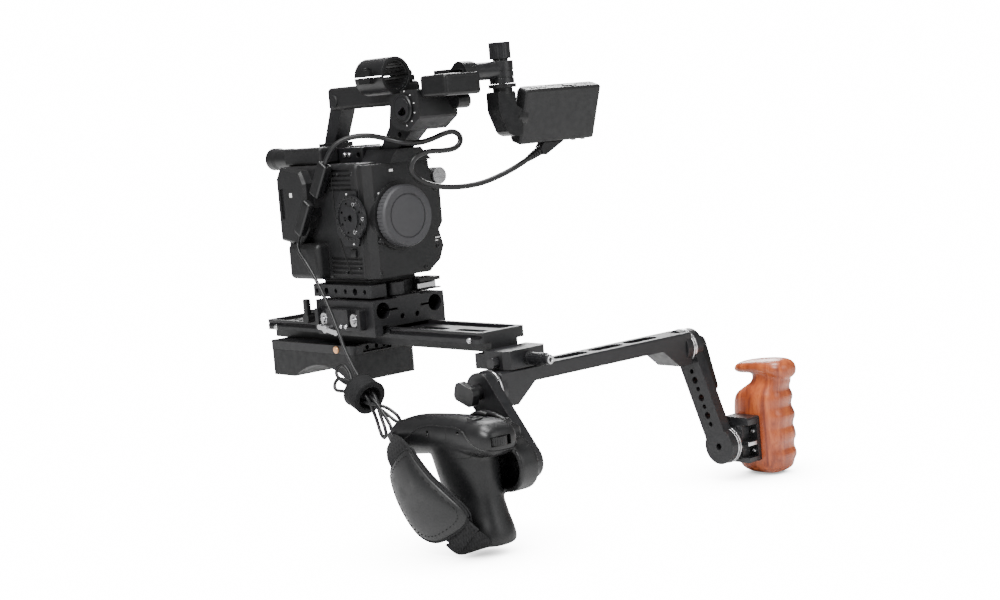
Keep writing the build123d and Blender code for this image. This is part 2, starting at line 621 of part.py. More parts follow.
def handle_post():
    """Rear post of the top handle, leaning forward to its pivot."""
    x0, x1 = HANDLE_X - 8, HANDLE_X + 8
    post = prism_x([(64, TOP_PLATE_TOP), (80, TOP_PLATE_TOP), (POST_PIVOT_Y + 9, 221),
                    (POST_PIVOT_Y - 9, 219)], x0, x1)
    post += rod((x0, POST_PIVOT_Y, POST_PIVOT_Z), (1, 0, 0), x1 - x0, 9.3)
    post += block(HANDLE_X - 12, HANDLE_X + 12, 60, 81.5, TOP_PLATE_TOP, TOP_PLATE_TOP + 5)
    post -= rod((x0 - 1, POST_PIVOT_Y, POST_PIVOT_Z), (1, 0, 0), 40, 3.05)
    return post


def handle_bar():
    """Grip bar with the fork at its rear, the front foot and the pivot pin."""
    x0, x1 = HANDLE_X - BAR_WIDTH / 2, HANDLE_X + BAR_WIDTH / 2
    low, high = BAR_Z - BAR_HEIGHT / 2, BAR_Z + BAR_HEIGHT / 2
    bar = soft_block(x0, x1, -50, POST_PIVOT_Y + 10.5, low, high, 4, Axis.X)
    bar = fillet(bar.edges().filter_by(Axis.Y), 4)
    bar -= block(HANDLE_X - 8 - GAP, HANDLE_X + 8 + GAP, POST_PIVOT_Y - 12, POST_PIVOT_Y + 12, low - 1,
                 high - 2.2)
    bar += rod((x0, POST_PIVOT_Y, POST_PIVOT_Z), (1, 0, 0), BAR_WIDTH, 3.0)
    for x, way in ((x0, -1), (x1, 1)):
        bar += turned([(0, 0), (5.6, 0), (5.6, 0.8), (5.0, 1.3), (0, 1.3)],
                      (x, POST_PIVOT_Y, POST_PIVOT_Z), (way, 0, 0))
    foot = prism_x([(-8, HUMP_TOP), (-34, HUMP_TOP), (-60, 194), (-60, 200), (-36, 216), (-28, 216),
                    (-24, 196)], x0 + 2, x1 - 2)
    foot -= block(x0, x1, -12, 0, HUMP_TOP - 1, TOP_PLATE_TOP)
    bar += foot
    bar -= rod((HOLDER_X, HOLDER_FRONT_Y, HOLDER_Z), (0, 1, 0), HOLDER_LENGTH, HOLDER_R)
    for y, z in ((-48, 194), (-38, 188)):
        bar -= rod((x0, y, z), (1, 0, 0), 6, 2.6)
    return bar


def audio_module():
    """Audio box at the handle's front with a slanted lower face."""
    x0, x1 = HANDLE_X - 22, HANDLE_X + 22
    outline = [(-44, 199), (-50, 194), (-66, 191), (-84, 202), (-84, 227), (-52, 227), (-44, 222)]
    module = prism_x(outline, x0, x1)
    module = chamfer(module.edges().filter_by(Axis.X), 1.2)
    module -= block(HANDLE_X - BAR_WIDTH / 2, HANDLE_X + BAR_WIDTH / 2, -61, -40, 190, 236)
    module -= rod((x0 - 1, -64, 211), (1, 0, 0), 5, 3.05)
    module -= rod((HOLDER_X, -60, HOLDER_Z), (0, 1, 0), 20, HOLDER_R)
    return module


def audio_dial():
    """Round selector on the audio module's side."""
    x = HANDLE_X - 22
    dial = rod((x + 3, -64, 211), (-1, 0, 0), 4, 3.0)
    dial += turned([(0, 0), (12.5, 0), (12.5, 1.6), (11.6, 2.4), (0, 2.4)], (x - 0.4, -64, 211),
                   (-1, 0, 0))
    return dial


def mic_holder():
    """Lower half of the microphone holder and its bracket on the handle."""
    front, rear = HOLDER_FRONT_Y, HOLDER_FRONT_Y + HOLDER_LENGTH
    tube = ring((HOLDER_X, front, HOLDER_Z), (0, 1, 0), HOLDER_LENGTH, HOLDER_R, HOLDER_HOLE_R)
    lower = tube & block(-60, 60, -100, 50, 200, HOLDER_Z - GAP)
    lower += block(HOLDER_X + 10, HOLDER_X + 24, front + 4, rear - 4, BAR_Z + BAR_HEIGHT / 2,
                   HOLDER_Z - GAP)
    lower += block(HOLDER_X - 21, HOLDER_X - 15.4, front + 12, rear - 12, HOLDER_Z - 6, HOLDER_Z - GAP)
    lower -= rod((HOLDER_X, front - 1, HOLDER_Z), (0, 1, 0), HOLDER_LENGTH + 2, HOLDER_HOLE_R)
    hinge_x = HOLDER_X + 21
    lower -= rod((hinge_x, front + 8.7, HOLDER_Z + 0.5), (0, 1, 0), HOLDER_LENGTH - 17.4, 5.3)
    lower += rod((hinge_x, front + 6, HOLDER_Z + 0.5), (0, 1, 0), HOLDER_LENGTH - 12, 2.0)
    return lower


def mic_clamp():
    """Upper half of the microphone holder, hinged on the pin beside the handle."""
    front = HOLDER_FRONT_Y
    tube = ring((HOLDER_X, front, HOLDER_Z), (0, 1, 0), HOLDER_LENGTH, HOLDER_R, HOLDER_HOLE_R)
    upper = tube & block(-60, 60, -100, 50, HOLDER_Z + GAP, 300)
    hinge_x = HOLDER_X + 21
    wedge = [(HOLDER_X + 8, HOLDER_Z + 14), (HOLDER_X + 15, HOLDER_Z + 4.2), (hinge_x, HOLDER_Z + 4.2),
             (hinge_x, HOLDER_Z + 5.4)]
    upper += prism_y(wedge, front + 9, front + HOLDER_LENGTH - 9)
    knuckle = ring((hinge_x, front + 9, HOLDER_Z + 0.5), (0, 1, 0), HOLDER_LENGTH - 18, 5.0, 2.05)
    upper += knuckle & block(0, 60, -100, 50, HOLDER_Z + GAP, 300)
    upper += block(HOLDER_X - 21, HOLDER_X - 15.4, front + 12, front + HOLDER_LENGTH - 12,
                   HOLDER_Z + GAP, HOLDER_Z + 6)
    upper += turned([(0, 0), (3.4, 0), (3.4, 2.4), (0, 2.4)],
                    (HOLDER_X - 18.4, front + HOLDER_LENGTH / 2, HOLDER_Z + 6), (0, 0, 1))
    upper -= rod((HOLDER_X, front - 1, HOLDER_Z), (0, 1, 0), HOLDER_LENGTH + 2, HOLDER_HOLE_R)
    return upper


# ---------------------------------------------------------------- monitor
def lcd_bracket():
    """Bracket on the handle's nose with an accessory shoe and the arm's bearing."""
    x0, x1 = HANDLE_X - 19, HANDLE_X + 22
    body = soft_block(x0, x1, BRACKET_FRONT_Y, -84, 219, 238, 3)
    body += block(HANDLE_X - 10, HANDLE_X + 10, -112, -94, 237, 241.5)
    body -= block(HANDLE_X - 7.5, HANDLE_X + 7.5, -113, -96, 238.3, 240.3)
    body -= block(HANDLE_X - 5, HANDLE_X + 5, -113, -96, 240, 243)
    ear = rod((x1 - 12, COLUMN_Y, ARM_Z), (1, 0, 0), 12, 10)
    ear += prism_x([(COLUMN_Y - 9, 230), (-86, 230), (-86, 236), (COLUMN_Y + 6, 246),
                    (COLUMN_Y - 9, 243)], x1 - 12, x1)
    body += ear
    body += rod((x1 - 14, -97, 214), (1, 0, 0), 14, 6.5)
    body += block(x1 - 13, x1 - 1, -100, -90, 212, 221)
    body -= rod((x1 - 13, COLUMN_Y, ARM_Z), (1, 0, 0), 14, 4.05)
    return body


def lcd_arm():
    """Arm that rolls in the bracket and carries the hinge column at its end."""
    start = HANDLE_X + 22 + GAP
    arm = rod((start, COLUMN_Y, ARM_Z), (1, 0, 0), COLUMN_X - start, 8.0)
    arm += ring((start, COLUMN_Y, ARM_Z), (1, 0, 0), 3, 9.4, 8)
    arm += rod((start - 12.5, COLUMN_Y, ARM_Z), (1, 0, 0), 13, 4.0)
    arm += rod((COLUMN_X, COLUMN_Y, 226), (0, 0, 1), 20, COLUMN_R)
    for z in (230.5, 236.5):
        arm -= ring((COLUMN_X, COLUMN_Y, z), (0, 0, 1), 1.2, COLUMN_R + 1, COLUMN_R - 0.7)
    arm -= rod((COLUMN_X, COLUMN_Y, 225), (0, 0, 1), 22, 3.05)
    return arm


def lcd_knob():
    """Knurled locking knob on top of the column."""
    knob = rod((COLUMN_X, COLUMN_Y, 240.5), (0, 0, 1), 6.5, 3.0)
    knob += rod((COLUMN_X, COLUMN_Y, 246 + GAP), (0, 0, 1), 1.8, 7.0)
    return knob + knurled((COLUMN_X, COLUMN_Y, 248), (0, 0, 1), 14.5, 9.6, 24, 0.5)


def lcd_hinge():
    """Hinge arm that swivels under the column and holds the monitor's pivot."""
    y0, y1 = COLUMN_Y - 8, COLUMN_Y + 8
    top = 226 - GAP
    hinge = rod((COLUMN_X, COLUMN_Y, top - 3.4), (0, 0, 1), 3.4, 12.4)
    hinge += rod((COLUMN_X, COLUMN_Y, top - 9), (0, 0, 1), 6, 8.8)
    x = COLUMN_X
    outline = [(x - 13, 219), (x + 8, 219), (x + 8, 206), (x + 13.5, 203), (x + 13.5, 179), (x + 2, 179),
               (x - 4, 182),
               (x - 13, 202)]
    plate = prism_y(outline, y0, y1)
    hinge += chamfer(plate.edges().filter_by(Axis.Y), 1.5)
    hinge += rod((x + 10, COLUMN_Y, MONITOR_PIVOT_Z), (1, 0, 0), 4.7, 8.5)
    hinge += rod((COLUMN_X, COLUMN_Y, top - 4), (0, 0, 1), 18, 3.0)
    hinge -= rod((x + 8, COLUMN_Y, MONITOR_PIVOT_Z), (1, 0, 0), 14, 3.05)
    return hinge


def on_monitor(shape):
    """Places a shape, drawn about the monitor's pivot, at the monitor's tilt."""
    return Pos(0, COLUMN_Y, MONITOR_PIVOT_Z) * Rot(MONITOR_TILT, 0, 0) * shape


def monitor_case():
    width, depth, height = MONITOR_SIZE
    x0, x1 = MONITOR_LEFT_X, MONITOR_LEFT_X + width
    case = soft_block(x0, x1, -depth / 2, depth / 2, -height / 2, height / 2, 2.5)
    case -= block(x0 + 5, x1 - 5, depth / 2 - 1.2, depth / 2 + 1, -height / 2 + 4, height / 2 - 4)
    case += rod((x0 - 1.5, 0, 0), (1, 0, 0), 6.2, 8.2)
    case += rod((COLUMN_X + 10, 0, 0), (1, 0, 0), x0 - COLUMN_X - 9, 3.0)
    case -= block(x1 - 44, x1 - 28, -2.5, 2.5, height / 2 - 1.2, height / 2 + 1)
    return on_monitor(case)


def monitor_screen():
    width, depth, height = MONITOR_SIZE
    x0, x1 = MONITOR_LEFT_X, MONITOR_LEFT_X + width
    return on_monitor(block(x0 + 5.1, x1 - 5.1, depth / 2 - 1.2, depth / 2 - 0.2, -height / 2 + 4.1,
                            height / 2 - 4.1))


def monitor_button():
    x1 = MONITOR_LEFT_X + MONITOR_SIZE[0]
    top = MONITOR_SIZE[2] / 2
    button = soft_block(x1 - 43.7, x1 - 28.3, -2.2, 2.2, top - 0.6, top + 0.8, 0.5)
    return on_monitor(button)


def monitor_plug():
    """Wedge-shaped cable plug under the monitor with its ribbed relief."""
    y0, y1 = -97 - 4.5, -97 + 4.5
    wedge = prism_y([(148, 172), (120, 171), (116, 167), (117, 160), (121, 159)], y0, y1)
    low = on_monitor(block(-500, 500, -50, 50, -100, -MONITOR_SIZE[2] / 2))
    plug = fillet(wedge.edges().filter_by(Axis.Y), 1) & low
    direction = Vector(*RELIEF_TIP) - Vector(*RELIEF_ROOT)
    profile = [(0, 0), (4.2, 0)]
    for i in range(5):
        s = 2 + i * 3.0
        profile += [(4.3 - 0.25 * i, s), (4.3 - 0.25 * i, s + 1.6), (3.4 - 0.15 * i, s + 1.7),
                    (3.4 - 0.15 * i, s + 2.9)]
    profile += [(2.7, direction.length), (0, direction.length)]
    return plug + turned(profile, RELIEF_ROOT, direction)


# ---------------------------------------------------------------- crossbar and arms
def crossbar():
    """Crossbar with a rosette block at each end."""
    y0, y1 = BAR_Y - CROSS_DEPTH / 2, BAR_Y + CROSS_DEPTH / 2
    bar = block(NEAR_FACE_X + 6, FAR_FACE_X - 6, y0, y1, CROSS_BOTTOM, CROSS_TOP)
    low = ROSETTE_Z - ROSETTE_R + 1
    near = [(NEAR_FACE_X, CROSS_TOP), (NEAR_FACE_X, low), (NEAR_FACE_X + 17, low),
            (NEAR_FACE_X + 38, CROSS_BOTTOM),
            (NEAR_FACE_X + 38, CROSS_TOP)]
    far = [(NEAR_FACE_X + FAR_FACE_X - x, z) for x, z in near]
    bar += prism_y(near, y0, y1)
    bar += prism_y(far, y0, y1)
    for x, way in ((NEAR_FACE_X, 1), (FAR_FACE_X, -1)):
        bar += rod((x, BAR_Y, ROSETTE_Z), (way, 0, 0), 5, ROSETTE_R)
        bar -= rod((x - way, BAR_Y, ROSETTE_Z), (way, 0, 0), 18, 3.05)
    bar = chamfer(bar.edges().filter_by(Axis.X).group_by(Axis.Z)[-1], 1.2)
    bar -= block(-8, 24, BAR_Y - 4, BAR_Y + 4, CROSS_BOTTOM, CROSS_TOP + 1)
    bar -= block(-11, 27, BAR_Y - 7, BAR_Y + 7, -50, -20.2)
    for x in (62, 106, 150):
        bar -= soft_block(x - 17, x + 17, BAR_Y - 4, BAR_Y + 4, CROSS_BOTTOM - 1, CROSS_TOP + 1, 3.9,
                          Axis.Z)
        bar -= soft_block(x - 19, x + 19, BAR_Y - 7, BAR_Y + 7, CROSS_TOP - 4, CROSS_TOP + 1, 6.5, Axis.Z)
    return bar


def rosette_teeth(x, y, z, way):
    """Toothed rosette disc."""
    profile = [(5, 0), (ROSETTE_R, 0), (ROSETTE_R, 2.2), (ROSETTE_R - 0.5, 2.6), (8.5, 1.9), (5, 1.9)]
    disc = turned(profile, (x, y, z), (way, 0, 0))
    for i in range(30):
        angle = 2 * pi * i / 30
        tooth = rod((x + way * 2.75, y + 8 * cos(angle), z + 8 * sin(angle)),
                    (0, cos(angle), sin(angle)), 9, 0.62)
        disc -= tooth
    return disc


def crossbar_rosettes():
    near = rosette_teeth(NEAR_FACE_X, BAR_Y, ROSETTE_Z, -1)
    far = rosette_teeth(FAR_FACE_X, BAR_Y, ROSETTE_Z, 1)
    return Compound([near, far])


def grip_arm():
    """Adapter arm that carries the relocated hand grip."""
    x1 = NEAR_FACE_X - 4.3
    x0 = x1 - ARM_THICK
    arm = link_x(x0, x1, BAR_Y, ROSETTE_Z, 16, GRIP_AXIS_Y, GRIP_AXIS_Z, 14.5)
    arm += ring((x1, BAR_Y, ROSETTE_Z), (1, 0, 0), 1.4, 15.6, 5)
    arm -= rod((x0 - 1, BAR_Y, ROSETTE_Z), (1, 0, 0), 20, 3.05)
    arm += rod((x0, GRIP_AXIS_Y, GRIP_AXIS_Z), (-1, 0, 0), 4.5, 3.0)
    return arm


def arm_lever():
    """T-lever that clamps the adapter arm to its rosette."""
    x = NEAR_FACE_X - 4.3 - ARM_THICK - GAP
    lever = rod((x, BAR_Y, ROSETTE_Z), (-1, 0, 0), 10, 6.6)
    lever += rod((x - 1, BAR_Y, ROSETTE_Z), (1, 0, 0), 27, 3.0)
    paddle = Box(7, 24, 16)
    paddle = fillet(paddle.edges().filter_by(Axis.X), 5)
    return lever + Pos(x - 12, BAR_Y + 1, ROSETTE_Z) * Rot(18, 0, 0) * paddle


def rounded_loft(sections):
    """Loft through rounded rectangles given as (z, x, y, width, depth, radius)."""
    faces = [Plane.XY.offset(z) * Pos(x, y) * RectangleRounded(w, d, r) for z, x, y, w, d, r in sections]
    return loft(faces)


def long_loft(sections):
    """Loft along Y through rounded rectangles given as (y, x, z, width, height, radius)."""
    faces = []
    for y, x, z, w, h, r in sections:
        plane = Plane(origin=(x, y, z), x_dir=(1, 0, 0), z_dir=(0, -1, 0))
        faces.append(plane * RectangleRounded(w, h, r))
    return loft(faces)


def hand_grip():
    """Relocated hand grip: column, head, palm heel and the hub on its inner side."""
    x = GRIP_X
    column = rounded_loft([(-60, x, -186, 38, 72, 17), (-76, x, -190, 38, 65, 17),
                           (-90, x, -193, 37, 61, 17),
                           (-104, x, -197, 36, 56, 16.5), (-118, x, -206, 36, 48, 16),
                           (-130, x, -213, 36, 43, 16),
                           (-139, x, -213, 36, 42, 16)])
    column += rounded_loft([(-139, x, -213, 36, 42, 16), (-143.5, x, -213, 28, 34, 12)])
    head = long_loft([(-106, x, -66, 20, 20, 8), (-113, x, -65, 30, 29, 11), (-134, x, -61.5, 37, 32, 13),
                      (-165, x, -57.5, 38, 31, 13), (-200, x, -56, 39, 29, 12),
                      (-226, x, -56, 38, 28, 11),
                      (-236, x, -56, 33, 24, 10), (-241, x, -56, 26, 17, 8)])
    nose = soft_block(x + 6, HUB_X0 - 0.2, -226, -190, -66, -47, 6)
    hub = rod((HUB_X0, GRIP_AXIS_Y, GRIP_AXIS_Z), (-1, 0, 0), 20, 21.5)
    web = block(HUB_X0 - 20, HUB_X0 - 2, GRIP_AXIS_Y - 12, GRIP_AXIS_Y + 30, GRIP_AXIS_Z - 4, -60)
    grip = column + head + nose + hub + web
    grip -= rod((HUB_X0 - 6, GRIP_AXIS_Y, GRIP_AXIS_Z), (-1, 0, 0), 15, 18)
    grip -= rod((HUB_X0 + 1, GRIP_AXIS_Y, GRIP_AXIS_Z), (-1, 0, 0), 7.5, 3.05)
    dial_x, dial_y, dial_z = DIAL_CENTRE
    grip -= rod((dial_x, dial_y, dial_z - 3.8), (0, 0, 1), 7.6, DIAL_R + GAP)
    grip += rod((dial_x, dial_y, dial_z - 4.5), (0, 0, 1), 9, 1.5)
    button_x, button_y = BUTTON_PLACE
    return grip - rod((button_x, button_y, -51), (0, 0, 1), 12, 4.35)


def grip_dial():
    """Knurled dial whose rim shows at the front of the hand grip."""
    x, y, z = DIAL_CENTRE
    dial = knurled((x, y, z - 3.5), (0, 0, 1), 7, DIAL_R, 30, 0.35)
    return dial - rod((x, y, z - 4), (0, 0, 1), 8, 1.55)


def record_button():
    start = (*BUTTON_PLACE, -49.5)
    return turned([(0, 0), (4.3, 0), (4.3, 7.4), (3.6, 8.2), (0, 8.2)], start, (0, 0, 1))


def strap_place(shape):
    """Places a shape, drawn flat with its length along Z, in the strap's plane."""
    return Pos(*STRAP_CENTRE) * Rot(STRAP_TILT, 0, 0) * shape


def strap_pad():
    pad = soft_block(-5, 5, -27, 27, -39, 41, 4.5)
    return strap_place(pad)


def strap_webbing():
    """Webbing from the head's rear, behind the pad, to the grip's foot."""
    upper = strap_place(Pos(10, -1, 48) * Rot(0, 42, 0) * Box(2.4, 24, 36))
    lower = strap_place(Pos(11, -3, -42) * Rot(0, -75, 0) * Box(2.4, 22, 30))
    return Compound([upper, lower])


def drop_arm():
    """Flat arm with alternating large and small holes, between the far rosettes."""
    x0 = FAR_FACE_X + 3.0
    x1 = x0 + DROP_THICK
    y1, z1 = BAR_Y - DROP_FORWARD, ROSETTE_Z - DROP_DOWN
    span = hypot(DROP_FORWARD, DROP_DOWN)
    uy, uz = -DROP_FORWARD / span, -DROP_DOWN / span
    arm = link_x(x0, x1, BAR_Y, ROSETTE_Z, 12, y1, z1, 12)
    arm += rod((x0, BAR_Y, ROSETTE_Z), (1, 0, 0), DROP_THICK, 16)
    arm += rod((x0, y1, z1), (1, 0, 0), DROP_THICK, 16.5)
    for i in range(7):
        s = 24.5 + i * 8.6
        radius = 2.2 if i % 2 == 0 else 3.3
        arm -= rod((x0 - 1, BAR_Y + uy * s, ROSETTE_Z + uz * s), (1, 0, 0), DROP_THICK + 2, radius)
    arm -= rod((x0 - 1, BAR_Y, ROSETTE_Z), (1, 0, 0), DROP_THICK + 2, 3.05)
    socket = Plane(origin=(x0 - 1, y1, z1), x_dir=(0, 1, 0), z_dir=(1, 0, 0)) * RegularPolygon(3.4, 6)
    arm -= extrude(socket, amount=6)
    arm += rod((x1, y1, z1), (1, 0, 0), 14, 3.0)
    return arm


def drop_lever():
    """Ratchet lever that clamps the drop arm to the crossbar."""
    x = FAR_FACE_X + 3.0 + DROP_THICK + GAP
    lever = rod((x, BAR_Y, ROSETTE_Z), (1, 0, 0), 12, 7.6)
    lever += rod((x + 1, BAR_Y, ROSETTE_Z), (-1, 0, 0), 27, 3.0)
    lever += link_x(x + 7, x + 14.5, BAR_Y, ROSETTE_Z, 7.0, BAR_Y - 14, ROSETTE_Z - 39, 4.2)
    return chamfer(lever.edges().filter_by(GeomType.CIRCLE).sort_by(Axis.X)[-1], 0.8)


def grip_bracket():
    """Rosette bracket screwed to the wooden grip."""
    x = FAR_FACE_X + 3.0 + DROP_THICK + GAP
    y, z = BAR_Y - DROP_FORWARD, ROSETTE_Z - DROP_DOWN
    bracket = rosette_teeth(x + 2.8, y, z, -1)
    bracket += rod((x + 2.6, y, z), (1, 0, 0), 6, ROSETTE_R)
    bracket += soft_block(x + 6, WOOD_X, y - 22, y + 8, z - 17, z + 25, 2, Axis.X)
    bracket -= block(x + 5, WOOD_X - 4, y - 23, y - 14, z - 12, z - 1)
    bracket -= block(x + 5, WOOD_X - 4, y - 23, y - 14, z + 3, z + 18)
    bracket -= rod((x - 1, y, z), (1, 0, 0), 16, 3.05)
    return bracket


def wood_grip():
    """Carved wooden grip: broad body with finger grooves, a narrow neck and a long thumb shelf."""
    z0 = WOOD_BOTTOM
    x, y = WOOD_X + 21, -221
    core = rounded_loft([(z0, x, y, 20, 26, 9), (z0 + 5, x, y, 34, 41, 15), (z0 + 20, x, y, 41, 49, 17),
                         (z0 + 48, x, y, 42, 50, 17), (z0 + 72, x, y, 41, 48, 17),
                         (z0 + 84, x, y - 4, 32, 36, 14),
                         (z0 + 92, x, y - 7, 24, 26, 11)])
    shelf = rounded_loft([(z0 + 89, x, y - 6, 22, 28, 10), (z0 + 97, x, y - 4, 30, 56, 14),
                          (z0 + 103, x, y - 4, 30, 58, 14),
                          (z0 + 107, x, y - 4, 22, 48, 10)])
    grip = core + shelf
    for z in (z0 + 26, z0 + 45, z0 + 64, z0 + 80):
        groove = rod((x - 6, y - 37, z), (1, 0, 0), 40, 16)
        grip -= groove
    return grip - block(WOOD_X - 20, WOOD_X, y - 60, y + 60, z0 - 1, z0 + 90)


# ---------------------------------------------------------------- cords
def lcd_cable():
    return cord(LCD_ROUTE, LCD_CABLE_D, "lcd_cable")


def grip_cable():
    """Free run down to the looped bundle and the short tail to the hand grip."""
    return Compound([cord(GRIP_ROUTE, GRIP_CABLE_D, "grip_cable"), cord(TAIL_ROUTE, GRIP_CABLE_D,
                                                                        "grip_cable tail")])


def cable_hank():
    """Outer shape of the grip cable's folded loops, held by the tie."""
    start = Vector(*TIE_CENTRE) - Vector(*TIE_AXIS) * 34
    profile = [(0, 0), (7, 0), (10, 12), (12.3, 26), (12.3, 42), (12, 56), (8, 76), (0, 76)]
    return turned(profile, start, TIE_AXIS)


def cable_tie():
    start = Vector(*TIE_CENTRE) - Vector(*TIE_AXIS) * 9
    return ring(start, TIE_AXIS, 18, 16, 12.4)


# ---------------------------------------------------------------- all pieces
def all_pieces():
    pieces = {
        "dovetail_plate": dovetail_plate(),
        "plate_screws": plate_screws(),
        "pad_plate": pad_plate(),
        "shoulder_pad": shoulder_pad(),
        "pad_button": pad_button(),
        "front_clamp": front_clamp(),
        "front_knob": front_knob(),
        "bar_lock_screw": bar_lock_screw(),
        "riser_block": riser_block(),
        "carriage_fasteners": riser_fasteners(),
        "rod_lock_lever": rod_lock_lever(),
        "plate_lock_lever": plate_lock_lever(),
        "side_knob": side_knob(),
        "receiver_plate": receiver_plate(),
        "release_lever": release_lever(),
        "camera_plate": camera_plate(),
        "camera_body": camera_body(),
        "front_panel": front_panel(),
        "body_cap": body_cap(),
        "sensor_board": sensor_board(),
        "side_rosette": side_rosette(),
        "lens_button": lens_button(),
        "side_button": side_button(),
        "filter_knob": filter_knob(),
        "cable_plugs": cable_plugs(),
        "battery_pack": battery_pack(),
        "finder_housing": finder_housing(),
        "finder_eyepiece": finder_eyepiece(),
        "top_plate": top_plate(),
        "handle_post": handle_post(),
        "handle_bar": handle_bar(),
        "audio_module": audio_module(),
        "audio_dial": audio_dial(),
        "mic_holder": mic_holder(),
        "mic_clamp": mic_clamp(),
        "lcd_bracket": lcd_bracket(),
        "lcd_arm": lcd_arm(),
        "lcd_knob": lcd_knob(),
        "lcd_hinge": lcd_hinge(),
        "monitor_case": monitor_case(),
        "monitor_screen": monitor_screen(),
        "monitor_button": monitor_button(),
        "monitor_plug": monitor_plug(),
        "crossbar": crossbar(),
        "crossbar_rosettes": crossbar_rosettes(),
        "grip_arm": grip_arm(),
        "arm_lever": arm_lever(),
        "hand_grip": hand_grip(),
        "grip_dial": grip_dial(),
        "record_button": record_button(),
        "strap_pad": strap_pad(),
        "strap_webbing": strap_webbing(),
        "drop_arm": drop_arm(),
        "drop_lever": drop_lever(),
        "wood_grip": wood_grip(),
        "grip_bracket": grip_bracket(),
        "lcd_cable": lcd_cable(),
        "grip_cable": grip_cable(),
        "cable_hank": cable_hank(),
        "cable_tie": cable_tie(),
    }
    return pieces


os.makedirs("parts", exist_ok=True)
for node, shape in all_pieces().items():
    export_step(shape, f"parts/{node}.step")
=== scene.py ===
"""Looks of the shoulder-mount cinema camera rig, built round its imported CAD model.

The frame is the CAD's. Shapes are given in millimetres and cords in metres."""
import json
import math

import bmesh
import bpy
from mathutils import Matrix, Vector
from mathutils.bvhtree import BVHTree


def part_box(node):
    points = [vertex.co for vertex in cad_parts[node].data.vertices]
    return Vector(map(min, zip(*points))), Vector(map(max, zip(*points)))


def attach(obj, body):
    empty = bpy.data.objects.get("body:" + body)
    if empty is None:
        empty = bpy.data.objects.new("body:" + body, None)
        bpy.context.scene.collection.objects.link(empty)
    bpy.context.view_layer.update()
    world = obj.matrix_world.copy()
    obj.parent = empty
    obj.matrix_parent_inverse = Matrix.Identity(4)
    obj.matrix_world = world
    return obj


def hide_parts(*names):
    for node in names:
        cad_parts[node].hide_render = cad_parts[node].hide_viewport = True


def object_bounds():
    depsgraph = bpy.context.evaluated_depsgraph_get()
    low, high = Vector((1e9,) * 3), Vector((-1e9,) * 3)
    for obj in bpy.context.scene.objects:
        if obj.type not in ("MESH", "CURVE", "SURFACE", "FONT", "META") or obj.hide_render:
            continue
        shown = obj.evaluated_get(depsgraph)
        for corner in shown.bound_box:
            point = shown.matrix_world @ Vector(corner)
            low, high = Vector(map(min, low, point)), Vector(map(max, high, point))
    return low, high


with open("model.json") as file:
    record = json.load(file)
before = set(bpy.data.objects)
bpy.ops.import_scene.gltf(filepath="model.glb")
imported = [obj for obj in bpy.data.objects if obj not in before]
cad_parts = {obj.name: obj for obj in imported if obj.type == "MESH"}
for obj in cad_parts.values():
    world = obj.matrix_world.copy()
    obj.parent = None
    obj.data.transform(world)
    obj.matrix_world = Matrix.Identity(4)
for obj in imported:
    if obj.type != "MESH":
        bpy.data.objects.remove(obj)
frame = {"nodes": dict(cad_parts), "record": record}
cad_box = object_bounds()
SCENE = bpy.context.scene
X, Y, Z = Vector((1, 0, 0)), Vector((0, 1, 0)), Vector((0, 0, 1))
BACKDROP = 16.0  # how bright the white backdrop shows
CURVE_ORDER = 3  # order of every smooth line
LOFT_STEPS = 6  # steps from one given section of a loft to the next
MIX_FACTOR, MIX_LOW, MIX_HIGH, MIX_RESULT = 0, 6, 7, 2  # sockets of a colour mix node


# ---------------------------------------------------------------- camera
def add_camera():
    """Camera in front of the rig on the operator's right, a little above the plate and slightly rolled."""
    azimuth, elevation, roll = (math.radians(a) for a in (-41.22, 6.29, -4.7))
    spot = (-1.0045, -1.3054, 0.2109)
    data = bpy.data.cameras.new("view_camera")
    data.lens = 64.8
    data.sensor_width = 36
    data.clip_start = 0.05
    camera = bpy.data.objects.new("view_camera", data)
    turn = Matrix.Rotation(azimuth, 4, "Z") @ Matrix.Rotation(math.pi / 2 - elevation, 4, "X")
    turn = turn @ Matrix.Rotation(roll, 4, "Z")
    camera.matrix_world = Matrix.Translation(spot) @ turn
    SCENE.collection.objects.link(camera)
    SCENE.camera = camera


# ---------------------------------------------------------------- materials
def mix_color(tree, factor, low, high):
    """Colour that goes from low to high as the factor rises."""
    node = tree.nodes.new("ShaderNodeMix")
    node.data_type = "RGBA"
    tree.links.new(factor, node.inputs[MIX_FACTOR])
    node.inputs[MIX_LOW].default_value = (*low, 1)
    node.inputs[MIX_HIGH].default_value = (*high, 1)
    return node.outputs[MIX_RESULT]


def mapped(tree, rotation=(0, 0, 0), scale=(1, 1, 1)):
    """Object coordinates, turned and stretched."""
    coords = tree.nodes.new("ShaderNodeTexCoord")
    mapping = tree.nodes.new("ShaderNodeMapping")
    mapping.inputs["Rotation"].default_value = rotation
    mapping.inputs["Scale"].default_value = scale
    tree.links.new(coords.outputs["Object"], mapping.inputs["Vector"])
    return mapping.outputs["Vector"]


def noise_at(tree, vector, scale, detail, distortion=0.0):
    """Noise read at given coordinates."""
    node = tree.nodes.new("ShaderNodeTexNoise")
    node.inputs["Scale"].default_value = scale
    node.inputs["Detail"].default_value = detail
    node.inputs["Distortion"].default_value = distortion
    tree.links.new(vector, node.inputs["Vector"])
    return node.outputs["Fac"]


def noise(tree, scale, detail=4, stretch=(1, 1, 1)):
    """Noise over the whole piece, stretched along an axis where it is grain."""
    return noise_at(tree, mapped(tree, scale=stretch), scale, detail)


def spread(tree, value, low, high, start=0.3, end=0.7):
    """Stretches the middle of a texture's values over a range."""
    node = tree.nodes.new("ShaderNodeMapRange")
    node.inputs["From Min"].default_value = start
    node.inputs["From Max"].default_value = end
    node.inputs["To Min"].default_value = low
    node.inputs["To Max"].default_value = high
    tree.links.new(value, node.inputs["Value"])
    return node.outputs["Result"]


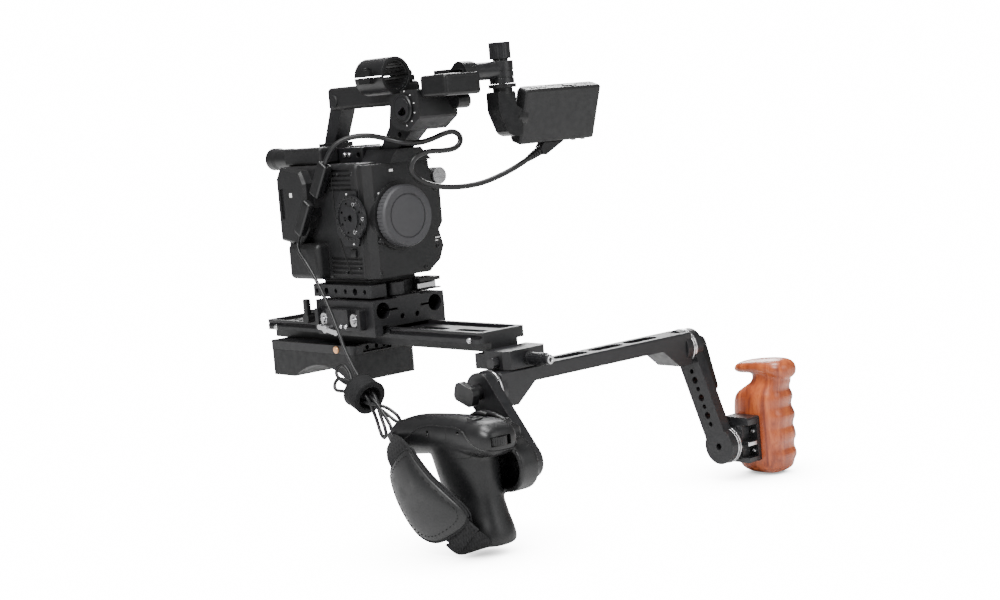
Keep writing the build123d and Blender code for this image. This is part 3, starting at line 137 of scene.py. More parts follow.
def base_material(name):
    """New material with its node tree and shader."""
    mat = bpy.data.materials.new(name)
    mat.use_nodes = True
    return mat, mat.node_tree, mat.node_tree.nodes["Principled BSDF"]


def add_bump(tree, shader, height, strength, distance, edge):
    """Grain bump on top of a slightly rounded edge."""
    bump = tree.nodes.new("ShaderNodeBump")
    bump.inputs["Strength"].default_value = strength
    bump.inputs["Distance"].default_value = distance
    tree.links.new(height, bump.inputs["Height"])
    if edge:
        bevel = tree.nodes.new("ShaderNodeBevel")
        bevel.samples = 4
        bevel.inputs["Radius"].default_value = edge
        tree.links.new(bevel.outputs["Normal"], bump.inputs["Normal"])
    tree.links.new(bump.outputs["Normal"], shader.inputs["Normal"])


def plain(name, color, roughness, metallic, grain, depth, mottle, edge, specular=0.5, stretch=(1, 1, 1)):
    """Material with a fine grain, slight mottling and uneven gloss."""
    mat, tree, shader = base_material(name)
    low = [c * (1 - mottle) for c in color]
    high = [min(1, c * (1 + mottle)) for c in color]
    tree.links.new(mix_color(tree, noise(tree, 45), low, high), shader.inputs["Base Color"])
    gloss = spread(tree, noise(tree, 160, 3, stretch), roughness * 0.85, min(1, roughness * 1.18))
    tree.links.new(gloss, shader.inputs["Roughness"])
    shader.inputs["Metallic"].default_value = metallic
    shader.inputs["Specular IOR Level"].default_value = specular
    add_bump(tree, shader, noise(tree, grain, 2, stretch), depth, 0.0004, edge)
    return mat


def wood(name):
    """Reddish-brown wood with grain running down the grip and an oiled finish."""
    mat, tree, shader = base_material(name)
    along = mapped(tree, (0.16, -0.1, 0.5), (1, 1, 0.13))
    rings = noise_at(tree, along, 120, 6, 0.8)
    fibres = noise_at(tree, along, 1600, 3)
    ramp = tree.nodes.new("ShaderNodeValToRGB")
    ramp.color_ramp.elements[0].position = 0.32
    ramp.color_ramp.elements[0].color = (0.15, 0.024, 0.006, 1)
    ramp.color_ramp.elements[1].position = 0.7
    ramp.color_ramp.elements[1].color = (0.46, 0.115, 0.032, 1)
    middle = ramp.color_ramp.elements.new(0.52)
    middle.color = (0.32, 0.065, 0.017, 1)
    tree.links.new(rings, ramp.inputs["Fac"])
    streak = tree.nodes.new("ShaderNodeMix")
    streak.data_type = "RGBA"
    streak.blend_type = "MULTIPLY"
    streak.inputs[MIX_HIGH].default_value = (0.72, 0.55, 0.48, 1)
    tree.links.new(spread(tree, fibres, 0.0, 0.7, 0.5, 0.7), streak.inputs[MIX_FACTOR])
    tree.links.new(ramp.outputs["Color"], streak.inputs[MIX_LOW])
    tree.links.new(streak.outputs[MIX_RESULT], shader.inputs["Base Color"])
    tree.links.new(spread(tree, rings, 0.42, 0.3), shader.inputs["Roughness"])
    shader.inputs["Coat Weight"].default_value = 0.15
    shader.inputs["Coat Roughness"].default_value = 0.3
    add_bump(tree, shader, fibres, 0.12, 0.0003, 0)
    return mat


def woven(name, color, threads, strength):
    """Cloth with crossing threads, painted lighter on their crests and darker as shade in the gaps between
    them.
    """
    mat, tree, shader = base_material(name)
    waves = []
    for turn in ((0.0, 0.0, 0.6), (0.9, 0.0, 0.6)):
        wave = tree.nodes.new("ShaderNodeTexWave")
        wave.inputs["Scale"].default_value = threads / 6.28
        wave.inputs["Distortion"].default_value = 0.4
        tree.links.new(mapped(tree, turn), wave.inputs["Vector"])
        waves.append(wave.outputs["Fac"])
    weave = tree.nodes.new("ShaderNodeMath")
    weave.operation = "MAXIMUM"
    tree.links.new(waves[0], weave.inputs[0])
    tree.links.new(waves[1], weave.inputs[1])
    # painted light and shade: threads lighter on their crests, darker in the gaps, following the same weave
    # as the bump
    low = [c * 0.5 for c in color]
    high = [c * 1.6 for c in color]
    tree.links.new(mix_color(tree, weave.outputs["Value"], low, high), shader.inputs["Base Color"])
    tree.links.new(spread(tree, noise(tree, 300), 0.75, 0.95), shader.inputs["Roughness"])
    shader.inputs["Specular IOR Level"].default_value = 0.25
    add_bump(tree, shader, weave.outputs["Value"], strength, 0.0003, 0)
    return mat


def leather(name, color, roughness, cell, strength, specular):
    """Fine pebbled skin: soft cells with creases between them, the creases painted darker as shade."""
    mat, tree, shader = base_material(name)
    coords = tree.nodes.new("ShaderNodeTexCoord")
    cells = tree.nodes.new("ShaderNodeTexVoronoi")
    cells.inputs["Scale"].default_value = cell
    cells.feature = "F1"
    tree.links.new(coords.outputs["Object"], cells.inputs["Vector"])
    # painted shade: the colour goes from lighter cell middles to darker creases, following the same cells
    # as the bump
    low = [c * 1.25 for c in color]
    high = [c * 0.7 for c in color]
    tree.links.new(mix_color(tree, cells.outputs["Distance"], low, high), shader.inputs["Base Color"])
    tree.links.new(spread(tree, noise(tree, 90), roughness * 0.85, roughness * 1.15),
                   shader.inputs["Roughness"])
    shader.inputs["Specular IOR Level"].default_value = specular
    add_bump(tree, shader, cells.outputs["Distance"], -strength, 0.0003, 0.0005)
    return mat


# colour, roughness, metallic, grain, grain's depth, mottling, rounded edge, specular, stretch of the grain
PLAIN_LOOKS = {
    "black_anodised": ((0.006, 0.006, 0.007), 0.42, 0, 3500, 0.06, 0.2, 0.0005, 0.45),
    "camera_shell": ((0.007, 0.007, 0.0075), 0.48, 0, 2600, 0.3, 0.2, 0.0006, 0.35),
    "black_plastic": ((0.005, 0.005, 0.0055), 0.36, 0, 2600, 0.12, 0.2, 0.0004, 0.4),
    "cap_plastic": ((0.045, 0.045, 0.048), 0.55, 0, 3000, 0.2, 0.12, 0.0004, 0.3),
    "pad_rubber": ((0.009, 0.009, 0.0095), 0.6, 0, 1900, 0.25, 0.18, 0.0012, 0.35),
    "bright_metal": ((0.6, 0.6, 0.61), 0.26, 1, 900, 0.08, 0.12, 0.0003, 0.5, (1, 1, 9)),
    "dark_steel": ((0.008, 0.008, 0.009), 0.33, 0, 3000, 0.08, 0.2, 0.0003, 0.5),
    "amber_button": ((0.8, 0.42, 0.2), 0.35, 0.35, 2500, 0.1, 0.12, 0.0003),
    "screen_glass": ((0.003, 0.003, 0.0035), 0.07, 0, 400, 0.01, 0.1, 0.0002),
    "cable_rubber": ((0.007, 0.007, 0.0075), 0.42, 0, 2200, 0.15, 0.2, 0, 0.4),
    "circuit": ((0.02, 0.13, 0.05), 0.35, 0, 900, 0.1, 0.3, 0.0002),
    "paint_mark": ((0.75, 0.75, 0.74), 0.5, 0, 1500, 0.05, 0.05, 0),
    "dark_hole": ((0.004, 0.004, 0.004), 0.8, 0, 1500, 0.05, 0.1, 0),
}
# colour, roughness, cells, strength, specular
LEATHER_LOOKS = {
    "grip_rubber": ((0.006, 0.006, 0.0065), 0.42, 1100, 0.2, 0.4),
    "pad_skin": ((0.012, 0.012, 0.0125), 0.42, 1300, 0.12, 0.35),
}
# colour, threads, strength
WOVEN_LOOKS = {
    "tie_fabric": ((0.006, 0.006, 0.0065), 1500, 0.5),
    "strap_fabric": ((0.007, 0.007, 0.0075), 1000, 0.6),
}


def make_materials():
    """Makes each material once, under its own name."""
    made = {"carved_wood": wood("carved_wood")}
    for make, looks in ((plain, PLAIN_LOOKS), (leather, LEATHER_LOOKS), (woven, WOVEN_LOOKS)):
        for name, look in looks.items():
            made[name] = make(name, *look)
    return made


def dress_cad():
    """Gives every CAD node the material of its slot."""
    slots = {part["node"]: part["material_slot"] for part in frame["record"]["subparts"]}
    for node, obj in frame["nodes"].items():
        obj.data.materials.clear()
        obj.data.materials.append(MATERIALS[slots[node]])


# ---------------------------------------------------------------- mesh helpers
def mm(x, y, z):
    """Point given in millimetres, in metres."""
    return Vector((x, y, z)) / 1000


def place(name, mesh, body, material, smooth=30):
    """Adds a mesh as a piece that rides on a body."""
    obj = bpy.data.objects.new(name, mesh)
    SCENE.collection.objects.link(obj)
    mesh.materials.clear()
    mesh.materials.append(MATERIALS[material])
    mesh.shade_smooth()
    mesh.set_sharp_from_angle(angle=math.radians(smooth))
    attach(obj, body)
    return obj


def to_mesh(bm, name):
    """Turns working geometry into a mesh whose faces look outwards."""
    bmesh.ops.recalc_face_normals(bm, faces=bm.faces)
    mesh = bpy.data.meshes.new(name)
    bm.to_mesh(mesh)
    bm.free()
    return mesh


def axes_at(start, direction):
    """Matrix whose Z runs along a direction from a start point."""
    turn = Vector(direction).to_track_quat("Z", "Y").to_matrix().to_4x4()
    return Matrix.Translation(start) @ turn


def add_turned(bm, profile, start, direction, sides=32):
    """Adds a turned solid from (radius, distance) points in millimetres."""
    matrix = axes_at(start, direction)
    rings = []
    for r, d in profile:
        count = 1 if r == 0 else sides
        steps = [2 * math.pi * i / sides for i in range(count)]
        rings.append([bm.verts.new(matrix @ mm(r * math.cos(a), r * math.sin(a), d)) for a in steps])
    for a, b in zip(rings, rings[1:]):
        for i in range(sides):
            j = (i + 1) % sides
            corners = [a[i % len(a)], a[j % len(a)], b[j % len(b)], b[i % len(b)]]
            unique = list(dict.fromkeys(corners))
            if len(unique) > 2:
                bm.faces.new(unique)


def turned(name, profile, start, direction, body, material, sides=48):
    """One turned piece."""
    bm = bmesh.new()
    add_turned(bm, profile, start, direction, sides)
    return place(name, to_mesh(bm, name), body, material)


def add_box(bm, centre, size, matrix=None, bevel=0.0):
    """Adds a box, sizes in millimetres, with rounded edges."""
    made = bmesh.ops.create_cube(bm, size=1)
    verts = made["verts"]
    bmesh.ops.scale(bm, vec=Vector(size) / 1000, verts=verts)
    if bevel:
        edges = list({e for v in verts for e in v.link_edges})
        made = bmesh.ops.bevel(bm, geom=edges, offset=bevel / 1000, segments=3, profile=0.6, affect="EDGES")
        verts = made["verts"]
    shift = Matrix.Translation(mm(*centre))
    bmesh.ops.transform(bm, matrix=shift @ (matrix or Matrix()), verts=verts)


def boxes(name, items, body, material, bevel=0.4, matrix=None):
    """One piece from a list of (centre, size) boxes in millimetres."""
    bm = bmesh.new()
    for centre, size in items:
        add_box(bm, centre, size, matrix, bevel)
    return place(name, to_mesh(bm, name), body, material)


def screws(name, places, direction, radius, body, material="bright_metal"):
    """Socket-head screws: a domed head with a six-sided socket."""
    bm = bmesh.new()
    for at in places:
        head = [(radius, -0.2), (radius, 0.35 * radius), (radius * 0.86, 0.5 * radius),
                (radius * 0.56, 0.54 * radius)]
        add_turned(bm, head, mm(*at), direction, 24)
        socket = [(radius * 0.56, 0.54 * radius), (radius * 0.5, 0.1 * radius), (0, 0.05 * radius)]
        add_turned(bm, socket, mm(*at), direction, 6)
    return place(name, to_mesh(bm, name), body, material)


def nurbs_curve(name, points, resolution=12):
    """Smooth curve guided by a few control points, in metres."""
    curve = bpy.data.curves.new(name, "CURVE")
    curve.dimensions = "3D"
    spline = curve.splines.new("NURBS")
    spline.points.add(len(points) - 1)
    for control, point in zip(spline.points, points):
        control.co = (*point, 1)
    spline.order_u = CURVE_ORDER
    spline.use_endpoint_u = True
    spline.resolution_u = resolution
    return curve


def curve_mesh(curve):
    """Mesh of a curve, which is then no longer needed."""
    obj = bpy.data.objects.new(curve.name, curve)
    mesh = bpy.data.meshes.new_from_object(obj)
    bpy.data.objects.remove(obj)
    return mesh


def smooth_line(points, resolution=12):
    """Points, in metres, along a smooth line through a few control points."""
    mesh = curve_mesh(nurbs_curve("line", points, resolution))
    return [v.co.copy() for v in mesh.vertices]


def tube(name, points, radius, body, material):
    """Round bead along a smooth line, radius in millimetres."""
    curve = nurbs_curve(name, points)
    curve.bevel_depth = radius / 1000
    curve.bevel_resolution = 3
    curve.use_fill_caps = True
    return place(name, curve_mesh(curve), body, material)


# ---------------------------------------------------------------- organic shapes
def oval(width, depth, power, count=48):
    """Rounded outline, from an ellipse at power 2 towards a rectangle at higher powers."""
    points = []
    for i in range(count):
        a = 2 * math.pi * i / count
        c, v = math.cos(a), math.sin(a)
        x = math.copysign(abs(c) ** (2 / power), c) * width / 2
        y = math.copysign(abs(v) ** (2 / power), v) * depth / 2
        points.append((x, y))
    return points


def curve_point(a, b, c, d, t):
    """Place t between b and c on the smooth line that passes through a, b, c and d."""
    return [0.5 * (2 * q + (r - p) * t + (2 * p - 5 * q + 4 * r - w) * t * t
                   + (3 * q - p - 3 * r + w) * t ** 3)
            for p, q, r, w in zip(a, b, c, d)]


def between(sections):
    """More sections along a smooth line through the given ones."""
    rows = []
    last = len(sections) - 1
    for i in range(last):
        a, b = sections[max(i - 1, 0)], sections[i]
        c, d = sections[i + 1], sections[min(i + 2, last)]
        rows += [curve_point(a, b, c, d, k / LOFT_STEPS) for k in range(LOFT_STEPS)]
    rows.append(list(sections[-1]))
    return rows


def skin(bm, rings, closed=False):
    """Skin over rings of equal count: the row of rings is closed, or it has a cap at each end."""
    made = [[bm.verts.new(p) for p in ring] for ring in rings]
    pairs = list(zip(made, made[1:])) + ([(made[-1], made[0])] if closed else [])
    for a, b in pairs:
        for i in range(len(a)):
            j = (i + 1) % len(a)
            bm.faces.new((a[i], a[j], b[j], b[i]))
    if not closed:
        bm.faces.new(list(reversed(made[0])))
        bm.faces.new(made[-1])


def upright(bm, sections, power):
    """Loft up Z through (z, x, y, width, depth) ovals, millimetres."""
    skin(bm, [[mm(x + u, y + v, z) for u, v in oval(w, d, power)] for z, x, y, w, d in between(sections)])


def lengthways(bm, sections, power=2.6):
    """Loft along Y through (y, x, z, width, height) ovals, millimetres."""
    skin(bm, [[mm(x + u, y, z + v) for u, v in oval(w, h, power)] for y, x, z, w, h in between(sections)])


def melted(name, bm, voxel, rounds, body, material, cut=None):
    """Melts overlapping solids into one smooth skin, then cuts pockets in it."""
    obj = bpy.data.objects.new(name, to_mesh(bm, name))
    SCENE.collection.objects.link(obj)
    remesh = obj.modifiers.new("skin", "REMESH")
    remesh.mode = "VOXEL"
    remesh.voxel_size = voxel / 1000
    smooth = obj.modifiers.new("smooth", "SMOOTH")
    smooth.iterations = rounds
    cutter = None
    if cut:
        cutter = bpy.data.objects.new("cutter", to_mesh(cut, "cutter"))
        SCENE.collection.objects.link(cutter)
        pocket = obj.modifiers.new("pocket", "BOOLEAN")
        pocket.object = cutter
        pocket.solver = "EXACT"
    graph = bpy.context.evaluated_depsgraph_get()
    mesh = bpy.data.meshes.new_from_object(obj.evaluated_get(graph))
    bpy.data.objects.remove(obj)
    if cutter:
        bpy.data.objects.remove(cutter)
    return place(name, mesh, body, material, smooth=50)


def surface_tree(obj):
    """Search tree over a piece's surface."""
    return BVHTree.FromObject(obj, bpy.context.evaluated_depsgraph_get())


def on_surface(tree, points, lift=0.0):
    """Points, given in millimetres, moved to the nearest spot on a surface."""
    moved = []
    for point in points:
        spot, normal = tree.find_nearest(mm(*point))[:2]
        moved.append(spot + normal * lift / 1000)
    return moved


def traced(tree, points, lift=0.0):
    """Smooth line through a few points, laid on a surface."""
    line = smooth_line([mm(*p) for p in points], resolution=8)
    return on_surface(tree, [p * 1000 for p in line], lift)


def ribbon(name, edge_a, edge_b, thick, body, material):
    """Strap between two smooth edges, millimetres, with a rounded rim."""
    across = 8
    left = smooth_line([mm(*p) for p in edge_a], resolution=14)
    right = smooth_line([mm(*p) for p in edge_b], resolution=14)
    bm = bmesh.new()
    rows = [[bm.verts.new(a.lerp(b, k / across)) for k in range(across + 1)] for a, b in zip(left, right)]
    for a, b in zip(rows, rows[1:]):
        for k in range(across):
            bm.faces.new((a[k], a[k + 1], b[k + 1], b[k]))
    obj = place(name, to_mesh(bm, name), body, material, smooth=50)
    solid = obj.modifiers.new("thick", "SOLIDIFY")
    solid.thickness = thick / 1000
    solid.offset = 0
    round_off = obj.modifiers.new("round", "BEVEL")
    round_off.width = thick / 4000
    round_off.segments = 2
    apply_modifiers(obj)
    return obj


def apply_modifiers(obj):
    """Makes what the modifiers give the piece's own mesh."""
    graph = bpy.context.evaluated_depsgraph_get()
    mesh = bpy.data.meshes.new_from_object(obj.evaluated_get(graph))
    obj.modifiers.clear()
    obj.data = mesh


def line_tube(name, line, radius, body, material, closed=False, sides=8):
    """Round bead along a line of points in metres, radius in millimetres."""
    bm = bmesh.new()
    count = len(line)
    steps = [2 * math.pi * k / sides for k in range(sides)]
    rings = []
    for i, p in enumerate(line):
        before = line[(i - 1) % count] if closed else line[max(i - 1, 0)]
        after = line[(i + 1) % count] if closed else line[min(i + 1, count - 1)]
        matrix = axes_at(p, after - before)
        rings.append([matrix @ mm(radius * math.cos(a), radius * math.sin(a), 0) for a in steps])
    skin(bm, rings, closed)
    return place(name, to_mesh(bm, name), body, material, smooth=60)


# ---------------------------------------------------------------- hand grip and its strap
GRIP_SCREWS = ((-167, -53), (-206, -50.5))  # y, z of the two screws in the grip's side
RECORD_BUTTON = (-84, -212)  # x, y of the button on the grip's head


def hand_grip():
    """Moulded grip: column, drooping head, and hub with its open pocket."""
    bm = bmesh.new()
    x = -79.0
    upright(bm, [(-54, x, -183, 34, 66), (-62, x, -186, 37, 72), (-76, x, -190, 38, 66),
                 (-90, x, -193, 37, 61), (-104, x, -197, 35.5, 56), (-118, x, -205, 35.5, 48),
                 (-130, x, -212, 37, 43), (-138, x, -213, 38.5, 44), (-142, x, -213, 36, 41),
                 (-143.8, x, -213, 26, 32)], power=2.5)
    lengthways(bm, [(-104, x, -68, 12, 10), (-106.5, x, -67, 24, 21), (-113, x, -65, 32, 29),
                    (-124, x, -62.5, 36, 32), (-138, x, -60, 38, 33), (-165, x, -57.5, 39, 32),
                    (-200, x, -55.5, 40, 30.5), (-226, x, -56, 39, 29), (-234, x, -57, 35, 25),
                    (-238.5, x, -57, 28, 18), (-240.5, x, -57, 16, 9)], power=2.8)
    lengthways(bm, [(-186, -60, -56, 20, 10), (-194, -58, -56, 24, 17), (-222, -57, -56, 22, 16),
                    (-227, -58, -56, 14, 9)])
    hub = (-45.6, -222, -83)
    add_turned(bm, [(0, 0), (20.6, 0), (21.4, 0.8), (21.4, 19.2), (20.6, 20), (0, 20)], mm(*hub), -X, 64)
    add_box(bm, (-57, -213, -72), (17, 40, 26), bevel=2)
    cut = bmesh.new()
    add_turned(cut, [(0, 0), (18, 0), (18, 17), (0, 17)], mm(-51.6, -222, -83), -X, 64)
    add_turned(cut, [(0, 0), (3.05, 0), (3.05, 9), (0, 9)], mm(-44.6, -222, -83), -X, 32)
    add_box(cut, (-82, -236.4, -56.5), (19.8, 27, 7.8))
    add_turned(cut, [(0, 0), (4.35, 0), (4.35, 14), (0, 14)], mm(*RECORD_BUTTON, -51), Z, 32)
    for y, z in GRIP_SCREWS:
        add_turned(cut, [(0, 0), (1.5, 0), (1.5, 6), (0, 6)], mm(-102, y, z), X, 16)
    grip = melted("hand_grip_body", bm, 1.5, 7, "right_grip", "grip_rubber", cut)
    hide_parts("hand_grip")
    tree = surface_tree(grip)
    grip_lines(tree)
    grip_controls(tree)


def grip_lines(tree):
    """Seam between the grip's top shell and its rubber, and the line across its side."""
    seam = [(-97, -124, -68), (-98, -140, -59), (-98, -150, -53), (-98, -158, -49), (-98, -169, -46),
            (-98, -184, -46), (-98, -202, -46), (-98, -211, -48), (-98, -217, -53), (-98, -222, -58),
            (-97, -230, -62), (-94, -239, -64), (-81, -240, -65), (-68, -239, -65), (-60, -230, -64)]
    line_tube("grip_seam", traced(tree, seam, 0.15), 0.55, "right_grip", "black_plastic")
    part = [(-98, -191, -46.5), (-98, -191, -57), (-98, -193, -66), (-98, -196, -72), (-98, -210, -71),
            (-96, -226, -70), (-84, -232, -70)]
    line_tube("grip_part_line", traced(tree, part, -0.2), 0.35, "right_grip", "dark_hole")


def grip_controls(tree):
    """Side screws, the record button's bezel, a rocker and a lever with its tip."""
    pins = [tuple(spot * 1000) for spot in on_surface(tree, [(-99, y, z) for y, z in GRIP_SCREWS], -0.8)]
    screws("grip_screws", pins, -X, 1.4, "right_grip", "dark_steel")
    bezel = bmesh.new()
    top = on_surface(tree, [(*RECORD_BUTTON, -38)])[0].z * 1000
    add_turned(bezel, [(4.4, -3), (6.6, -3), (6.6, 0.5), (6.1, 0.9), (5.0, 0.9), (4.4, 0.3)],
               mm(*RECORD_BUTTON, top), Z, 40)
    place("record_bezel", to_mesh(bezel, "record_bezel"), "right_grip", "black_plastic")
    rocker = [(-74, -196, top - 1), (-74, -200, top + 1.6), (-73, -207, top + 2.2), (-72, -213, top + 0.6)]
    line_tube("grip_rocker", smooth_line([mm(*p) for p in rocker]), 1.9, "right_grip", "black_plastic",
              sides=12)
    lever = [(-63, -190, -43), (-63, -196, -40), (-62, -208, -41), (-61, -218, -44), (-60, -224, -47)]
    line_tube("grip_lever", smooth_line([mm(*p) for p in lever]), 2.3, "right_grip", "black_plastic",
              sides=12)
    turned("grip_lever_tip", [(0, 0), (3.0, 0), (3.4, 0.6), (3.4, 5.4), (3.0, 6), (0, 6)],
           mm(-63.5, -223, -46.5), X, "right_grip", "black_plastic", 24)


STRAP = (-118.0, -176.0, -101.0)  # middle of the strap
STRAP_TILT = math.radians(-33)
STRAP_ANGLE = Matrix.Rotation(STRAP_TILT, 4, "X")
# y, z of the pad's rim in the strap's own coordinates
PAD_OUTLINE = [(-9, 38), (2, 40), (14, 39), (23, 36.5), (28.5, 31), (30, 18), (29, 2), (27, -14),
               (23, -26), (15, -35), (4, -40), (-10, -42), (-24, -42.5), (-33, -40), (-36, -32),
               (-31, -14), (-22, 8), (-14, 28)]


def strap_to_world(x, y, z):
    """Strap's own coordinates, millimetres: x towards the grip, z along the strap."""
    return (STRAP[0] + x, STRAP[1] + y * math.cos(STRAP_TILT) - z * math.sin(STRAP_TILT),
            STRAP[2] + y * math.sin(STRAP_TILT) + z * math.cos(STRAP_TILT))


def bow(y, z):
    """How far the strap's skin stands inwards at a place, as it bends round the hand."""
    return 6.5 * (z / 42) ** 2 + 2.5 * (y / 26) ** 2 - 2.0


def closed_line(points, steps):
    """Smooth closed line through (y, z) control points."""
    count = len(points)
    rows = []
    for i in range(count):
        guides = [points[(i + k) % count] for k in (-1, 0, 1, 2)]
        rows += [tuple(curve_point(*guides, k / steps)) for k in range(steps)]
    return rows


def pad_ring(line, scale, depth):
    """The pad's outline, shrunk, at a depth in its bowed skin."""
    small = [(y * scale, z * scale) for y, z in line]
    return [mm(*strap_to_world(depth + bow(y, z), y, z)) for y, z in small]


def strap_pad():
    """Leather pad: crowned face, flatter back, piping round the rim and a stitched line inside it."""
    line = closed_line(PAD_OUTLINE, 5)
    bm = bmesh.new()
    layers = [(0.30, -5.6), (0.62, -5.3), (0.84, -4.5), (0.90, -3.2), (0.96, -2.9), (1.0, -1.6),
              (1.0, 1.0), (0.96, 2.2), (0.8, 3.0), (0.35, 3.4)]
    skin(bm, [pad_ring(line, scale, depth) for scale, depth in layers])
    pad = place("strap_cushion", to_mesh(bm, "strap_cushion"), "right_grip", "pad_skin", smooth=60)
    smooth = pad.modifiers.new("soft", "SUBSURF")
    smooth.levels = 1
    apply_modifiers(pad)
    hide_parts("strap_pad")
    for name, depth, radius in (("strap_piping", -1.2, 1.25), ("strap_back_piping", 1.6, 1.1)):
        line_tube(name, pad_ring(line, 1.0, depth), radius, "right_grip", "strap_fabric", closed=True)
    stitches = bmesh.new()
    seam = pad_ring(line, 0.87, -4.1)
    for a, b in zip(seam[::2], seam[1::2]):
        length = (b - a).length * 1000
        profile = [(0, 0), (0.32, 0.2), (0.32, length * 0.75), (0, length * 0.8)]
        add_turned(stitches, profile, a, b - a, 6)
    place("strap_stitches", to_mesh(stitches, "strap_stitches"), "right_grip", "tie_fabric")


def strap_webbing():
    """Liner strap from the head's slot, behind the pad, and the webbing loop at the grip's foot."""
    liner_a = [(-97, -120, -60), (-106, -138, -58), (-112, -154, -60), (-114, -176, -78),
               (-114, -200, -99), (-113, -222, -115), (-108, -233, -125)]
    liner_b = [(-98, -112, -72), (-107, -122, -76), (-113, -134, -82), (-115, -156, -103),
               (-115, -176, -124), (-114, -196, -136), (-108, -212, -143)]
    liner = ribbon("strap_liner", liner_a, liner_b, 2.6, "right_grip", "strap_fabric")
    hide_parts("strap_webbing")
    edge = smooth_line([mm(*p) for p in liner_a], resolution=14)
    line_tube("liner_binding", edge, 1.5, "right_grip", "strap_fabric")
    foot_a = [(-108, -233, -125), (-101, -237, -132), (-94, -232, -139), (-88, -222, -143.5),
              (-80, -214, -144.5)]
    foot_b = [(-112, -196, -140), (-110, -203, -147), (-102, -206, -149), (-92, -204, -147.5),
              (-82, -200, -145)]
    foot = ribbon("strap_foot", foot_a, foot_b, 2.4, "right_grip", "strap_fabric")
    slot = bmesh.new()
    add_box(slot, (-97.5, -121, -66), (3, 7, 20), STRAP_ANGLE, 0.8)
    place("strap_slot", to_mesh(slot, "strap_slot"), "right_grip", "black_plastic")


TIE_CENTRE = Vector((-.066, -.043, -.035))
TIE_AXIS = Vector((0, -.93, -.37)).normalized()
TIE_HALF = 0.009  # half the band's length, metres
TIE_SIDES = 72


def tie_steps():
    """Angles round the tie, each with how far the band is out of round there."""
    turns = [2 * math.pi * i / TIE_SIDES for i in range(TIE_SIDES)]
    return [(1 + 0.035 * math.cos(2 * turn + 0.6), turn) for turn in turns]


def cable_tie():
    """Wrapped hook-and-loop band with two bound edges, and a dark disc across its middle: painted shade
    where the inside of the band lies in shadow.
    """
    start = TIE_CENTRE - TIE_AXIS * TIE_HALF
    matrix = axes_at(start, TIE_AXIS)

    def spot(radius, squeeze, turn, depth):
        """Place on the band from its radius, its squeeze at that turn, and how far along it is."""
        return matrix @ mm(radius * squeeze * math.cos(turn), radius * squeeze * math.sin(turn), depth)

    profile = [(10.9, 0.8), (11.5, 0), (15.2, 0), (15.9, 0.7), (16.0, 17.3), (15.3, 18), (11.5, 18),
               (10.9, 17.2)]
    bm = bmesh.new()
    around = tie_steps()
    skin(bm, [[spot(r, squeeze, turn, d) for r, d in profile] for squeeze, turn in around], closed=True)
    # painted shade: a dark disc closes the band's middle where its inside lies in shadow
    shade_disc = [(0, 8), (10.8, 8), (10.8, 9.4), (0, 9.4)]
    turned("tie_shade_disc", shade_disc, start, TIE_AXIS, "carriage", "tie_fabric")
    band = place("tie_band", to_mesh(bm, "tie_band"), "carriage", "tie_fabric", smooth=60)
    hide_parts("cable_tie")
    for number, depth in enumerate((0.9, 17.1)):
        ring = [spot(15.9, squeeze, turn, depth) for squeeze, turn in around]
        line_tube(f"tie_binding_{number}", ring, 0.45, "carriage", "strap_fabric", closed=True)


# ---------------------------------------------------------------- wooden grip
def wood_grip():
    """Carved grip: broad body with four finger hollows, narrow neck and a long thumb shelf."""
    x, y = 260.0, -221.0
    pitch, hollow = 18.4, 0.105  # spacing of the finger hollows in millimetres, and their depth as a share
    bm = bmesh.new()
    body = [(-150.8, x, y, 12, 18), (-149.8, x, y, 24, 32), (-146, x, y, 34, 45), (-140, x, y, 40, 51),
            (-131, x, y, 42, 54), (-103, x, y, 42, 55.5), (-86, x, y, 41.5, 54), (-77, x, y - 1, 39.5, 50),
            (-71, x, y - 5, 34, 42), (-65, x, y - 10, 27, 36), (-58, x, y - 11, 25, 36),
            (-52, x, y - 9, 26, 40)]
    rings = []
    for z, cx, cy, w, d in between(body):
        wave = 0.5 + 0.5 * math.cos(2 * math.pi * (z + 125) / pitch)
        fade = max(0.0, min(1.0, (z + 146) / 10)) * max(0.0, min(1.0, (-66 - z) / 8))
        ring = []
        for u, v in oval(w, d, 3.1, 64):
            facing = max(0.0, (0.35 * u / (w / 2) - v / (d / 2)) / 1.06)
            pull = 1 - hollow * wave * fade * facing ** 1.5
            ring.append(mm(cx + u * (1 - (1 - pull) * 0.6), cy + v * pull, z))
        rings.append(ring)
    skin(bm, rings)
    lengthways(bm, [(-195, 257, -54.5, 6, 3), (-196.5, 257.5, -54, 16, 7), (-201, 258, -53.3, 23, 10.5),
                    (-210, 259, -52.2, 27, 12.5), (-224, 260, -51.5, 30, 14.5), (-237, 260.5, -52, 32, 17),
                    (-247, 261, -53.5, 29, 18.5), (-252.5, 261, -54.5, 20, 13), (-254, 261, -55, 9, 6)],
               power=2.3)
    cut = bmesh.new()
    add_box(cut, (229, -221, -100), (20, 80, 120))
    grip = melted("wood_grip_body", bm, 1.25, 5, "left_grip", "carved_wood", cut)
    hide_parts("wood_grip")


